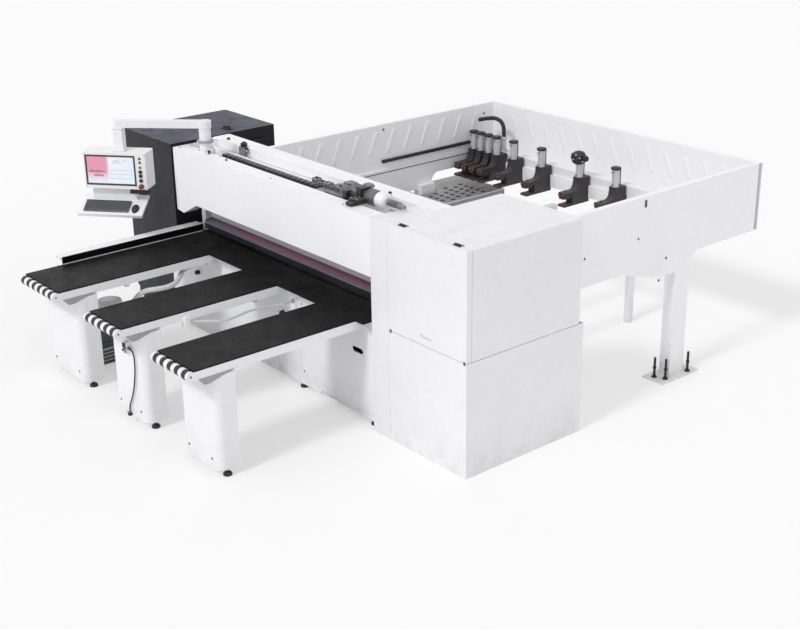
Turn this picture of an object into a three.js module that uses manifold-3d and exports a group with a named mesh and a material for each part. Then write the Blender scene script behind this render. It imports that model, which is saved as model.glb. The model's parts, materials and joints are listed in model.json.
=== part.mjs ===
// Beam saw: panel sizing saw with front tables, saw beam, rear pusher with grippers and a swivelling console.
// Millimetres, +Z up, +X to the operator's right, +Y from the operator towards the rear of the machine.
import * as THREE from 'three';
import { mergeVertices } from 'three/addons/utils/BufferGeometryUtils.js';
import Module from 'manifold-3d';

const wasm = await Module();
wasm.setup();

// Shared clearances and sheet sizes
const seat = 0.3;
const overrun = 6;
const sheet = 4;
const plateThickness = 12;
const weldDistance = 0.001;
const curveSteps = 5;
const roundSteps = 16;
const smallSteps = 12;
const pinSteps = 8;

// Right cabinet over the parked saw
const cabinetWidth = 885;
const cabinetDepth = 1185;
const cabinetHeight = 1800;
const lowerCasingDrop = 10;
const lowerCasingDepth = 1235;
const casingGap = 4;
const doorDepth = 50;
const doorBackGap = 3;
const hingeInset = 118;
const hingeLength = 70;
const hingeRadius = 7;
const hingeRise = 3;
const doorHandleWidth = 130;
const doorHandleHeight = 26;
const doorHandleRise = 60;
const ventCount = 6;
const ventPitch = 30;
const ventWidth = 274;
const ventHeight = 12;

// Beam, columns and covers
const columnWidth = 211;
const columnPostDepth = 200;
const columnBridgeRise = 250;
const columnWall = 10;
const apronDepth = 42;
const beamSpan = 2892;
const beamDepth = 660;
const coverFlange = 150;
const coverLip = 56;
const capWidth = 343;
const capCorner = 112;
const capCornerRise = 14;
const capDepth = 296;
const capBackGap = 4;
const leftColumnWidth = 72;
const leftColumnFront = 300;
const seamWidth = 2;
const girderFront = 150;
const girderBack = 476;
const girderTopDrop = 85;
const girderWall = 12;
const rearCoverFront = 482;
const alignerRailBack = 440;
const alignerRailWidth = 36;
const alignerRailHeight = 18;

// Heights over the table as shares of the height from the table to the beam's top
const pressureBottomShare = 0.1268;
const capBottomShare = 0.2923;
const rearCoverBottomShare = 0.3427;
const pressureTopShare = 0.4131;
const coverBottomShare = 0.4331;
const alignerPadBottomShare = 0.4484;
const girderBottomShare = 0.5305;

// Saw table and base
const tableHeight = 948;
const sawLineDepth = 270;
const sawSlot = 16;
const slotRimDepth = 79;
const sawTableEndGap = 14;
const baseFront = 50;
const baseBackGap = 8;
const baseFloor = 40;
const baseWall = 12;
const baseLeft = -4250;
const baseRightGap = 70;
const baseTopFlange = 120;
const footRadius = 30;
const footCount = 5;
const footInset = 120;
const ledgeDepth = 46;
const ledgeHeight = 50;
const ledgeDrop = 686;
const sawRailSize = 20;
const panelLeft = -2144;
const panelDrop = 86;
const panelMargin = 60;
const handSlotWidth = 137;
const handSlotHeight = 37;
const handSlotDrop = 238;
const handSlotInset = 250;
const forkSlotWidth = 224;
const forkSlotHeight = 26;
const forkSlotLeft = -1871;

// Front tables
const tableInset = 108;
const tableWidth = 512;
const tableGap = 560;
const leftTableWidth = 622;
const tableReach = 1556;
const topThickness = 12;
const railHeight = 74;
const railWidth = 40;
const crossWidth = 36;
const crossCount = 4;
const noseOverhang = 24;
const noseRadius = 38;
const noseWheelWidth = 54;
const nosePitch = 101;
const noseTabDepth = 24;
const noseAxleRadius = 8;
const noseDrop = 43;
const noseSideGap = 1;
const legInset = 156;
const legDepth = 190;
const legCorner = 68;
const legSheet = 5;
const legBottom = 66;
const legSpacer = 12;
const legSpacerInset = 16;
const tableFootInset = 42;
const tableFootRadius = 32;
const tableFootHeight = 30;
const tableFootRimShare = 0.4;
const tableFootTopShare = 0.6;
const tableStemRadius = 9;
const junctionBoxWidth = 60;
const junctionBoxHeight = 96;
const junctionBoxDepth = 34;
const junctionBoxDrop = 222;
const junctionBoxShift = 46;
const hoseBracketDepth = 40;
const hoseBracketHeight = 90;
const hoseBracketReach = 42;
const hoseBracketOverlap = 20;
const hoseBracketShift = 436;
const cableGlandX = -2531;
const cableGlandWidth = 30;
const cableGlandDepth = 26;
const cableGlandHeight = 32;

// Fence
const fenceWidth = 112;
const fenceHeight = 118;
const fenceRise = 68;
const fenceFrontInset = 351;
const fenceBack = 246;
const fenceFaceThickness = 8;
const fenceFaceLift = 9;

// Pressure beam
const pressureLeftInset = 220;
const pressureFront = 140;
const pressureBack = 400;
const pressureLip = 60;
const pressureShoulder = 26;
const pressureWeb = 112;
const bladeGroove = 30;
const grooveDepth = 106;
const pressureEndGap = 16;
const pressureWall = 14;
const pressRodRadius = 20;
const pressRodReach = 130;
const pressBarrelWall = 12;
const pressRodCount = 3;
const pressRodInset = 300;

// Saw carriage, lift and blades
const carriageLeft = -860;
const carriageLength = 640;
const carriagePlate = 24;
const bearingLength = 90;
const bearingHeight = 34;
const bearingInset = 30;
const liftPostSize = 44;
const liftPostSpare = 26;
const leftPostInset = 234;
const rightPostInset = 95;
const liftPlateThickness = 20;
const liftPlateHeight = 300;
const liftPlateRise = 70;
const liftRunnerWall = 14;
const mainBladeRadius = 200;
const mainBladeTopDrop = 24;
const mainBladeInset = 405;
const mainBladeThickness = 4.4;
const mainBladeTeeth = 40;
const scoreBladeRadius = 80;
const scoreBladeTopDrop = 82;
const scoreBladeInset = 105;
const scoreBladeTeeth = 20;
const toothDepth = 9;
const bladeBore = 15;
const flangeRadius = 50;
const flangeThickness = 8;
const arborRadius = 14.7;
const mainMotorRadius = 92;
const mainMotorLength = 210;
const scoreMotorRadius = 50;
const motorGap = 14;
const liftFace = 315;
const arborReach = 50;
const arborNutLength = 8;
const flangeSmallRadius = 25;

// Side aligner on the beam top
const alignerLeft = -2050;
const alignerLength = 400;
const alignerPlate = 14;
const bridgeRise = 54;
const bridgeFront = 96;
const alignerMotorRadius = 64;
const alignerMotorY = 290;
const alignerMotorLength = 300;
const gearboxSize = 104;
const gearboxLength = 100;
const alignerArmWidth = 60;
const alignerArmThickness = 22;
const alignerArmInset = 60;
const alignerPadWidth = 96;
const alignerPadDepth = 36;
const alignerPadHeight = 74;
const alignerArmTopGap = 26;
const alignerGuideRise = 18;

// Energy chain in the beam channel
const chainWidth = 56;
const chainBack = 336;
const chainHeight = 44;
const chainLinkPitch = 70;
const chainLinkGap = 12;
const chainLeft = -3600;
const chainLength = 1470;
const chainCore = 26;
const wallChainCore = 16;

// Rear frame
const rearBack = 3670;
const rearRight = -180;
const rearLeft = -3595;
const rearWallThickness = 55;
const rearWallRise = 794;
const rearWallHeight = 612;
const rearSheet = 5;
const rearLegFront = 2560;
const rearLegDepth = 184;
const rearLegThickness = 110;
const rearLegHeadroom = 50;
const rearGussetReach = 700;
const rearGussetDrop = 150;
const rearGussetRadius = 110;
const rearGussetSagShare = 0.9;
const basePlateLength = 480;
const basePlateWidth = 230;
const basePlateThickness = 14;
const rearRailRise = 130;
const rearRailHeight = 26;
const rearRailDepth = 14;
const wallChainRise = 230;
const wallChainHeight = 26;
const wallChainWidth = 34;
const wallChainFront = 2089;
const wallChainLength = 1190;

// Rear support tables
const floatLeft = -3790;
const floatWidth = 720;
const floatBack = 3340;
const floatThickness = 16;
const floatRibDepth = 90;
const floatRibWidth = 40;
const floatLegSize = 60;
const floatNotchGap = 20;
const supportRailCount = 3;
const supportRailPitch = 520;
const supportRailLeft = -2380;
const supportRailWidth = 70;
const supportRailHeight = 80;

// Pusher and grippers
const pusherFront = 3390;
const pusherDepth = 110;
const pusherRise = 142;
const pusherHeight = 220;
const pusherEndGap = 20;
const runnerLength = 160;
const runnerDepth = 24;
const runnerOverlap = 80;
const hangerWidth = 12;
const gripperShares = [0.0013, 0.0342, 0.0713, 0.11, 0.188, 0.313, 0.4754, 0.6213];
const gripperWidth = 84;
const gripperRise = 114;
const gripperLength = 342;
const gripperSole = 24;
const gripperToeHeight = 140;
const gripperAnkleHeight = 256;
const gripperAnkleDepth = 140;
const gripperMouthDepth = 108;
const gripperMouthHeight = 74;
const gripperBankThickness = 40;
const jawWidth = 62;
const jawThickness = 20;
const jawGap = 1;
const jawStemRise = 14;
const gripperSlope = 48;
const gripperBend = 12;
const bankHeight = 120;
const bankRise = 8;
const jawRodRadius = 8;
const cylinderRadius = 34;
const cylinderHeight = 165;
const capRadius = 44;
const capHeight = 22;

// Console
const consolePostX = -3656;
const consolePostY = 150;
const consolePostRadius = 54;
const consoleCollarRadius = 86;
const consoleCollarHeight = 30;
const consoleDropLength = 217;
const pedestalWidth = 100;
const pedestalBack = 216;
const consoleArmLength = 792;
const consoleArmWidth = 84;
const consoleArmHeight = 62;
const consoleHubRadius = 62;
const consoleTurnDegrees = 45;
const caseTurnDegrees = 40;
const caseRise = 518;
const dropTubeSize = 84;
const caseWidth = 595;
const caseShift = -27;
const caseDepth = 224;
const caseHeight = 334;
const caseCorner = 22;
const caseWall = 6;
const casePanelDepth = 26;
const caseVentCount = 5;
const caseVentPitch = 22;
const caseVentWidth = 180;
const caseVentHeight = 8;
const caseVentDrop = 90;
const screenWidth = 482;
const screenHeight = 284;
const screenShift = -69;
const screenTopMargin = 20;
const screenRecess = 8;
const trayNeckWidth = 420;
const trayNeckDepth = 60;
const trayNeckHeight = 83;
const trayWidth = 612;
const trayDepth = 273;
const trayThickness = 22;
const trayTiltDegrees = 29;
const trayShift = -68;
const trayLip = 10;
const trayLipWidth = 14;
const trayRearInset = 112;
const keyboardWidth = 430;
const keyboardDepth = 132;
const keyboardHeight = 20;
const keyboardShift = -115;
const keyboardInset = 27;
const keyboardTaper = 8;
const keyboardFrontHeight = 7;
const keyboardLift = 0.6;
const buttonColumn = 216;
const buttonRadius = 12;
const buttonStand = 9;
const buttonSocketRadius = 17;
const buttonSocketDepth = 9;
const buttonTravelGap = 0.5;
const buttonStemRadius = 7;
const buttonStemDepth = 18;
const buttonHeightShares = [0.506, 0.614, 0.749];
const lampHeightShares = [0.135, 0.24, 0.38];
const lampRadius = 9;
const lampStand = 5;
const stopHeightShare = 0.91;
const stopRadius = 19;
const stopStemRadius = 11;
const stopStand = 26;
const stopHeadHeight = 14;

// Electric cabinet
const electricGap = 20;
const electricWidth = 870;
const electricDepth = 1176;
const electricHeight = 1750;
const electricFront = 137;
const electricDoorDepth = 24;
const electricWall = 6;
const electricPlinth = 100;
const ductHeight = 160;
const ductDrop = 236;
const ductDepth = 180;
const ductShift = 180;
const latchLength = 150;
const latchWidth = 30;
const latchStand = 34;
const latchStemSize = 22;
const latchInset = 60;
const latchCorner = 10;

// Blower under the left table
const blowerRight = -3690;
const blowerWidth = 330;
const blowerShift = 290;
const blowerDepth = 520;
const blowerHeight = 380;
const blowerFoot = 24;
const blowerMotorRadius = 110;
const blowerMotorHeight = 150;
const blowerCorner = 12;
const blowerWall = 6;
const blowerSlotCount = 6;
const blowerSlotPitch = 36;
const blowerSlotHeight = 12;
const blowerSlotInset = 48;
const blowerSlotDepth = 8;
const spigotRadius = 30;
const spigotReach = 46;
const spigotHeight = 480;

// Free hoses and the cable, each along a route chosen by hand
const airHoseRadius = 23;
const airSocketX = -3560;
const hoseSocketDrop = 136;
const airHoseSwing = 450;
const airHoseRise = 6;
const airHoseStraight = 44;
const thinHoseRadius = 11;
const thinHoseSwing = 96;
const thinHoseStraight = 34;
const thinSocketX = -2190;
const socketWall = 7;
const socketReach = 30;
const cableRadius = 6;
const cableStandOff = 16;
const cableSwing = 84;
const cableStraight = 24;
const hoseSides = 10;
const cableSides = 8;
const airHoseSteps = 18;
const thinHoseSteps = 20;
const cableSteps = 20;

// Places that follow from the sizes above
const cabinetLeft = -cabinetWidth;
const columnLeft = cabinetLeft - columnWidth;
const beamLeft = columnLeft - beamSpan;
const beamTop = cabinetHeight;
const leftColumnLeft = beamLeft - leftColumnWidth;
const girderLeft = beamLeft + sheet + seat;
const plateBottom = tableHeight - topThickness;
const frameTop = plateBottom - seat;
const railBottom = frameTop - railHeight;
const baseTop = frameTop;
const baseRight = -baseRightGap;
const baseBack = beamDepth - baseBackGap;
const lowerCasingHeight = tableHeight - lowerCasingDrop;
const ledgeBottom = plateBottom - ledgeDrop;
const panelTop = plateBottom - panelDrop;
const handSlotHigh = panelTop - handSlotDrop;
const headroom = beamTop - tableHeight;
const overTable = (share) => tableHeight + headroom * share;
const pressureBottom = overTable(pressureBottomShare);
const pressureTop = overTable(pressureTopShare);
const capBottom = overTable(capBottomShare);
const coverBottom = overTable(coverBottomShare);
const rearCoverBottom = overTable(rearCoverBottomShare);
const girderBottom = overTable(girderBottomShare);
const girderTop = beamTop - girderTopDrop;
const alignerPadBottom = overTable(alignerPadBottomShare);
const fenceRight = columnLeft - tableInset - 2 * (tableWidth + tableGap) - leftTableWidth;
const pressureLeft = fenceRight + pressureLeftInset;
const pressureRight = columnLeft - pressureEndGap;
const fenceTop = tableHeight + fenceRise;
const fenceFront = fenceFrontInset - tableReach;
const noseAxleReach = tableReach + noseOverhang;
const legFront = legInset - tableReach;
const hoseBracketY = legFront + hoseBracketShift;
const junctionBoxLow = railBottom - junctionBoxDrop;
const blowerFront = legFront + blowerShift;
const machineFront = -(noseAxleReach + noseRadius);
const electricRight = baseLeft - electricGap;
const electricLeft = electricRight - electricWidth;
const machineLeft = electricLeft - electricDoorDepth - seat - latchStand;
const machineRight = 0;
const rearWallTop = tableHeight + rearWallRise;
const rearWallBottom = rearWallTop - rearWallHeight;
const pusherBottom = tableHeight + pusherRise;
const gripperBottom = tableHeight + gripperRise;
const floatFront = beamDepth + seat;
const tables = [];
{
  const rightEdge = columnLeft - tableInset;
  const pitch = tableWidth + tableGap;
  tables.push({ name: 'right', left: rightEdge - tableWidth, right: rightEdge });
  tables.push({ name: 'middle', left: rightEdge - pitch - tableWidth, right: rightEdge - pitch });
  tables.push({ name: 'left', left: rightEdge - 2 * pitch - leftTableWidth, right: rightEdge - 2 * pitch });
}
const junctionBoxMiddle = (tables[1].left + tables[1].right) / 2 + junctionBoxShift;
const hoseSocketHigh = plateBottom - hoseSocketDrop;
const hoseSockets = [
  { x: airSocketX, radius: airHoseRadius },
  { x: thinSocketX, radius: thinHoseRadius },
];

// Colours and surface values
const white = { color: 0xf1f1f3, roughness: 0.45, metalness: 0.0 };
const pale = { color: 0xd9dade, roughness: 0.5, metalness: 0.1 };
const black = { color: 0x2f2f31, roughness: 0.6, metalness: 0.0 };
const deepBlack = { color: 0x0c0c0d, roughness: 0.45, metalness: 0.0 };
const charcoal = { color: 0x39393f, roughness: 0.5, metalness: 0.2 };
const castGrey = { color: 0x3c3a3d, roughness: 0.55, metalness: 0.4 };
const steel = { color: 0xa9abae, roughness: 0.35, metalness: 0.9 };
const blueGrey = { color: 0x777990, roughness: 0.4, metalness: 0.5 };
const jawRed = { color: 0x5a2a28, roughness: 0.5, metalness: 0.1 };
const hoseGreen = { color: 0xaab8ae, roughness: 0.6, metalness: 0.0 };
const red = { color: 0xc4151c, roughness: 0.4, metalness: 0.0 };
const keyGrey = { color: 0x55575b, roughness: 0.6, metalness: 0.0 };

// The machine is laid out from the foot of the cabinet's front right corner and then centred over its footprint.
const machine = new THREE.Group();
machine.name = 'beam_saw';
const layout = new THREE.Group();
layout.position.set(-(machineLeft + machineRight) / 2, -(machineFront + rearBack) / 2, 0);
machine.add(layout);

// Solids
function solidOf(geometry) {
  const plain = geometry.index ? geometry.toNonIndexed() : geometry.clone();
  plain.deleteAttribute('normal');
  plain.deleteAttribute('uv');
  const merged = mergeVertices(plain, weldDistance);
  const mesh = new wasm.Mesh({
    numProp: 3,
    vertProperties: new Float32Array(merged.attributes.position.array),
    triVerts: new Uint32Array(merged.index.array),
  });
  return new wasm.Manifold(mesh);
}

function geometryOf(body) {
  const mesh = body.getMesh();
  const geometry = new THREE.BufferGeometry();
  geometry.setAttribute('position', new THREE.BufferAttribute(new Float32Array(mesh.vertProperties), 3));
  geometry.setIndex(new THREE.BufferAttribute(new Uint32Array(mesh.triVerts), 1));
  const faceted = geometry.toNonIndexed();
  faceted.computeVertexNormals();
  return faceted;
}

function block(xs, ys, zs) {
  const box = new THREE.BoxGeometry(xs[1] - xs[0], ys[1] - ys[0], zs[1] - zs[0]);
  box.translate((xs[0] + xs[1]) / 2, (ys[0] + ys[1]) / 2, (zs[0] + zs[1]) / 2);
  return solidOf(box);
}

// Turns a geometry made along +Z so that it runs along an axis. On x an outline is (y, z), on y it is (x, z).
function layAlong(geometry, axis, from, to) {
  const turn = new THREE.Matrix4();
  const ex = new THREE.Vector3(1, 0, 0);
  const ey = new THREE.Vector3(0, 1, 0);
  const ez = new THREE.Vector3(0, 0, 1);
  if (axis === 'x') {
    turn.makeBasis(ey, ez, ex);
    turn.setPosition(from, 0, 0);
  } else if (axis === 'y') {
    turn.makeBasis(ex, ez, ey.clone().negate());
    turn.setPosition(0, to, 0);
  } else {
    turn.setPosition(0, 0, from);
  }
  geometry.applyMatrix4(turn);
  return geometry;
}

function shapeOf(points) {
  return new THREE.Shape(points.map((point) => new THREE.Vector2(point[0], point[1])));
}

function prism(axis, outline, from, to) {
  const shape = Array.isArray(outline) ? shapeOf(outline) : outline;
  const made = new THREE.ExtrudeGeometry(shape, { depth: to - from, bevelEnabled: false, curveSegments: curveSteps });
  return solidOf(layAlong(made, axis, from, to));
}

// A cylinder along an axis; its centre is given in the outline's two coordinates.
function rod(axis, centre, radius, from, to, steps = roundSteps) {
  const circle = [];
  for (let i = 0; i < steps; i += 1) {
    const angle = (2 * Math.PI * i) / steps;
    circle.push([centre[0] + radius * Math.cos(angle), centre[1] + radius * Math.sin(angle)]);
  }
  return prism(axis, circle, from, to);
}

// The radius of a faceted bore in which a faceted shaft can turn all the way round.
function boreFor(radius, steps) {
  return (radius + seat / 2) / Math.cos(Math.PI / steps);
}

function joined(...bodies) {
  return bodies.reduce((all, body) => all.add(body));
}

function without(body, ...tools) {
  return tools.reduce((left, tool) => left.subtract(tool), body);
}

// A rectangle with rounded corners, each with its own radius, from the lower left anticlockwise.
function roundedShape(across, up, radii) {
  const [left, right] = across;
  const [low, high] = up;
  const [a, b, c, d] = radii;
  const shape = new THREE.Shape();
  shape.moveTo(left + a, low);
  shape.lineTo(right - b, low);
  if (b > 0) shape.absarc(right - b, low + b, b, -Math.PI / 2, 0, false);
  shape.lineTo(right, high - c);
  if (c > 0) shape.absarc(right - c, high - c, c, 0, Math.PI / 2, false);
  shape.lineTo(left + d, high);
  if (d > 0) shape.absarc(left + d, high - d, d, Math.PI / 2, Math.PI, false);
  shape.lineTo(left, low + a);
  if (a > 0) shape.absarc(left + a, low + a, a, Math.PI, (3 * Math.PI) / 2, false);
  return shape;
}

function rounded(across, up, radius) {
  return roundedShape(across, up, [radius, radius, radius, radius]);
}

function place(name, body, look, parent = layout) {
  const geometry = body.isBufferGeometry ? body : geometryOf(body);
  const mesh = new THREE.Mesh(geometry, new THREE.MeshStandardMaterial(look));
  mesh.name = name;
  parent.add(mesh);
  return mesh;
}

// Right cabinet

function lowerCasing() {
  const left = cabinetLeft + seat;
  const high = lowerCasingHeight;
  const shell = block([left, 0], [0, lowerCasingDepth], [0, high]);
  const zs = [-overrun, high + overrun];
  const inside = block([left + sheet, -sheet], [sheet, lowerCasingDepth - sheet], zs);
  const tunnel = block([left - overrun, left + sheet + overrun], [sheet, baseBack + baseWall], zs);
  const middle = cabinetLeft / 2;
  const vents = [];
  for (let i = 0; i < ventCount; i += 1) {
    const top = high - panelMargin - i * ventPitch;
    vents.push(block([middle - ventWidth / 2, middle + ventWidth / 2],
      [lowerCasingDepth - sheet - overrun, lowerCasingDepth + overrun], [top - ventHeight, top]));
  }
  return without(shell, inside, tunnel, ...vents);
}

function hingePlaces() {
  return [cabinetLeft + hingeInset, -hingeInset - hingeLength / 2];
}

function upperCasing() {
  const bottom = lowerCasingHeight + casingGap;
  const left = cabinetLeft + seat;
  const front = doorDepth + doorBackGap;
  const shell = block([left, 0], [front, cabinetDepth], [bottom, cabinetHeight]);
  const zs = [bottom - overrun, cabinetHeight - sheet];
  const inside = block([left + sheet, -sheet], [-overrun, cabinetDepth - sheet], zs);
  const side = block([left - overrun, left + sheet + overrun], [-overrun, beamDepth], zs);
  const hinge = [front + hingeRadius, cabinetHeight + hingeRise];
  const barrels = hingePlaces().map((x) => rod('x', hinge, hingeRadius, x - hingeLength / 2, x + hingeLength / 2, smallSteps));
  return joined(without(shell, inside, side), ...barrels);
}

// The door is a deep pan whose top flange wraps over the edge up to the hinges.
function cabinetDoor() {
  const bottom = lowerCasingHeight + casingGap;
  const top = cabinetHeight;
  const left = cabinetLeft + seat;
  const pan = block([left, 0], [0, doorDepth], [bottom, top]);
  const hollow = block([left + sheet, -sheet], [sheet, doorDepth + overrun], [bottom + sheet, top - sheet]);
  const middle = cabinetLeft / 2;
  const low = bottom + doorHandleRise;
  const grip = prism('y', rounded([middle - doorHandleWidth / 2, middle + doorHandleWidth / 2],
    [low, low + doorHandleHeight], doorHandleHeight / 2 - seat), -overrun, sheet + overrun);
  return without(pan, hollow, grip);
}

// Columns, girder and covers

function rightColumn() {
  const xs = [columnLeft, cabinetLeft];
  const top = beamTop - sheet - seat;
  const back = beamDepth - sheet - seat;
  const bridge = tableHeight + columnBridgeRise;
  const frontPost = block(xs, [0, columnPostDepth], [0, beamTop]);
  const backPost = block(xs, [beamDepth - columnPostDepth, back], [baseTop + seat, top]);
  const head = block(xs, [0, back], [bridge, top]);
  const apronRoom = block([columnLeft - overrun, cabinetLeft + overrun], [apronDepth, beamDepth], [-overrun, baseTop + seat]);
  const seam = block([cabinetLeft - seamWidth * 2, cabinetLeft - seamWidth], [-overrun, seamWidth], [-overrun, beamTop + overrun]);
  const w = columnWall;
  const inner = [columnLeft + w, cabinetLeft + overrun];
  const rooms = [
    block(inner, [w, columnPostDepth - w], [baseTop + w, top - w]),
    block(inner, [beamDepth - columnPostDepth + w, back - w], [baseTop + w, top - w]),
    block(inner, [w, back - w], [bridge + w, top - w]),
  ];
  return without(joined(frontPost, backPost, head), apronRoom, seam, ...rooms);
}

function pressPlaces() {
  const first = pressureLeft + pressRodInset;
  const last = pressureRight - pressRodInset;
  const places = [];
  for (let i = 0; i < pressRodCount; i += 1) {
    places.push(first + ((last - first) * i) / (pressRodCount - 1));
  }
  return places;
}

// The box girder is welded to its left column; the guides of the pressure beam's rods stand inside it.
function girder() {
  const right = columnLeft - seat;
  const tube = block([girderLeft, right], [girderFront, girderBack], [girderBottom, girderTop]);
  const room = block([girderLeft + girderWall, right + overrun], [girderFront + girderWall, girderBack - girderWall],
    [girderBottom + girderWall, girderTop - girderWall]);
  const rail = block([girderLeft, right], [alignerRailBack - alignerRailWidth, alignerRailBack],
    [girderTop - overrun, girderTop + alignerRailHeight]);
  const column = block([leftColumnLeft, beamLeft], [leftColumnFront, beamDepth - sheet - seat],
    [baseTop + seat, beamTop - sheet - seat]);
  const weld = block([beamLeft - overrun, girderLeft + overrun], [leftColumnFront, girderBack], [girderBottom, girderTop]);
  const pedestal = block([consolePostX - pedestalWidth / 2, consolePostX + pedestalWidth / 2],
    [coverFlange + seat, pedestalBack], [girderTop - overrun, beamTop]);
  let body = joined(without(tube, room), rail, column, weld, pedestal);
  for (const x of pressPlaces()) {
    const guide = rod('z', [x, sawLineDepth], pressRodRadius + seat + pressBarrelWall, girderBottom, girderTop - girderWall / 2, smallSteps);
    const bore = rod('z', [x, sawLineDepth], pressRodRadius + seat, girderBottom - overrun, girderBottom + pressRodReach + overrun, smallSteps);
    body = without(joined(body, guide), bore);
  }
  return body;
}

// Front cover: a sheet channel over the girder whose left end drops as a sloping cap.
function frontCover() {
  const right = columnLeft - seat;
  const shell = block([beamLeft, right], [0, coverFlange], [coverBottom, beamTop]);
  const inside = block([beamLeft + sheet, right - sheet], [sheet, coverFlange + overrun], [coverBottom + sheet, beamTop - sheet]);
  const belowLip = block([beamLeft + sheet, right - sheet], [coverLip, coverFlange + overrun],
    [coverBottom - overrun, coverBottom + sheet + overrun]);
  const capRight = beamLeft + capWidth;
  const low = capBottom + capCornerRise;
  const outline = [[beamLeft, low], [beamLeft + capCorner, capBottom], [capRight, coverBottom], [capRight, beamTop], [beamLeft, beamTop]];
  const inner = [[beamLeft + sheet, low + sheet], [beamLeft + capCorner, capBottom + sheet],
    [capRight + overrun, coverBottom + sheet], [capRight + overrun, beamTop - sheet], [beamLeft + sheet, beamTop - sheet]];
  const capInside = prism('y', inner, sheet, capDepth + overrun);
  const cap = without(prism('y', outline, 0, capDepth), capInside);
  const abovePress = block([beamLeft + sheet, capRight + overrun], [pressureFront - capBackGap, capDepth + overrun],
    [capBottom - overrun, coverBottom + sheet + overrun]);
  const capTop = block([beamLeft + sheet, capRight + overrun], [coverFlange, capDepth + overrun],
    [beamTop - sheet - overrun, beamTop + overrun]);
  return without(joined(without(shell, inside, belowLip), cap), capInside, abovePress, capTop);
}

function rearCover() {
  const left = leftColumnLeft;
  const shell = block([left, cabinetLeft], [rearCoverFront, beamDepth], [rearCoverBottom, beamTop]);
  const inside = block([left - overrun, cabinetLeft + overrun], [rearCoverFront - overrun, beamDepth - sheet],
    [rearCoverBottom - overrun, beamTop - sheet]);
  const front = block([beamLeft + seat, columnLeft - seat], [rearCoverFront, rearCoverFront + sheet], [girderTop + seat, beamTop - overrun / 2]);
  return joined(without(shell, inside), front);
}

// Base, saw table and access panel

// The trough's section: two walls with ledges for the saw rails and flanges that carry the saw table.
function baseOutline() {
  const f = baseFront;
  const b = baseBack;
  const w = baseWall;
  const t = baseTop;
  const ledgeTopHeight = ledgeBottom + ledgeHeight;
  return [
    [f, baseFloor], [b, baseFloor], [b, t], [b - baseTopFlange, t], [b - baseTopFlange, t - w], [b - w, t - w],
    [b - w, ledgeTopHeight], [b - w - ledgeDepth, ledgeTopHeight], [b - w - ledgeDepth, ledgeBottom], [b - w, ledgeBottom],
    [b - w, baseFloor + w], [f + w, baseFloor + w], [f + w, ledgeBottom], [f + w + ledgeDepth, ledgeBottom],
    [f + w + ledgeDepth, ledgeTopHeight], [f + w, ledgeTopHeight], [f + w, t - w], [f + baseTopFlange, t - w],
    [f + baseTopFlange, t], [f, t],
  ];
}

const sawRailInset = (ledgeDepth - sawRailSize) / 2;
const frontSawRail = baseFront + baseWall + sawRailInset;
const backSawRail = baseBack - baseWall - sawRailInset - sawRailSize;

function baseFrame() {
  let body = prism('x', baseOutline(), baseLeft, baseRight);
  body = joined(body, block([baseLeft, baseLeft + baseWall], [baseFront, baseBack], [baseFloor, baseTop]));
  const railFoot = ledgeBottom + ledgeHeight;
  for (const y of [frontSawRail, backSawRail]) {
    body = joined(body, block([baseLeft + baseWall - overrun, baseRight], [y, y + sawRailSize],
      [railFoot - overrun, railFoot + sawRailSize]));
  }
  for (let i = 0; i < footCount; i += 1) {
    const x = baseLeft + footInset + ((baseRight - baseLeft - 2 * footInset) * i) / (footCount - 1);
    for (const y of [baseFront + footRadius, baseBack - footRadius]) {
      body = joined(body, rod('z', [x, y], footRadius, 0, baseFloor + overrun, smallSteps));
    }
  }
  for (const socket of hoseSockets) {
    body = joined(body, rod('y', [socket.x, hoseSocketHigh], socket.radius + socketWall, baseFront - socketReach,
      baseFront + overrun, smallSteps));
  }
  const window = block([panelLeft + panelMargin, columnLeft - panelMargin], [baseFront - overrun, baseFront + baseWall + overrun],
    [railFoot + panelMargin, panelTop - panelMargin]);
  const forkSlot = block([forkSlotLeft, forkSlotLeft + forkSlotWidth], [baseFront - overrun, baseFront + baseWall],
    [baseFloor - overrun, baseFloor + forkSlotHeight]);
  return without(body, window, forkSlot);
}

function basePanel() {
  const right = columnLeft - seat;
  const back = baseFront - seat;
  const plate = block([panelLeft, right], [back - sheet, back], [baseFloor + panelMargin, panelTop]);
  const slotMiddle = right - handSlotInset;
  const half = handSlotHeight / 2;
  const slot = prism('y', rounded([slotMiddle - handSlotWidth / 2, slotMiddle + handSlotWidth / 2],
    [handSlotHigh - half, handSlotHigh + half], half - seat), back - sheet - overrun, back + overrun);
  return without(plate, slot);
}

function sawTable(ys) {
  return block([fenceRight, columnLeft - sawTableEndGap], ys, [plateBottom, tableHeight]);
}

// Front tables

function tableTop(table) {
  return block([table.left, table.right], [-tableReach, -slotRimDepth - seat], [plateBottom, tableHeight]);
}

// Left edge of each nose wheel; the wheels stand in the gaps of a comb.
function noseWheelLefts(table) {
  const width = table.right - table.left;
  const count = Math.floor(width / nosePitch);
  const margin = (width - count * nosePitch + nosePitch - noseWheelWidth) / 2;
  const lefts = [];
  for (let i = 0; i < count; i += 1) {
    lefts.push(table.left + margin + i * nosePitch);
  }
  return lefts;
}

const noseAxis = [-noseAxleReach, tableHeight - noseDrop];
const nosePocketBack = -noseAxleReach + noseRadius + noseSideGap;

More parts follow.
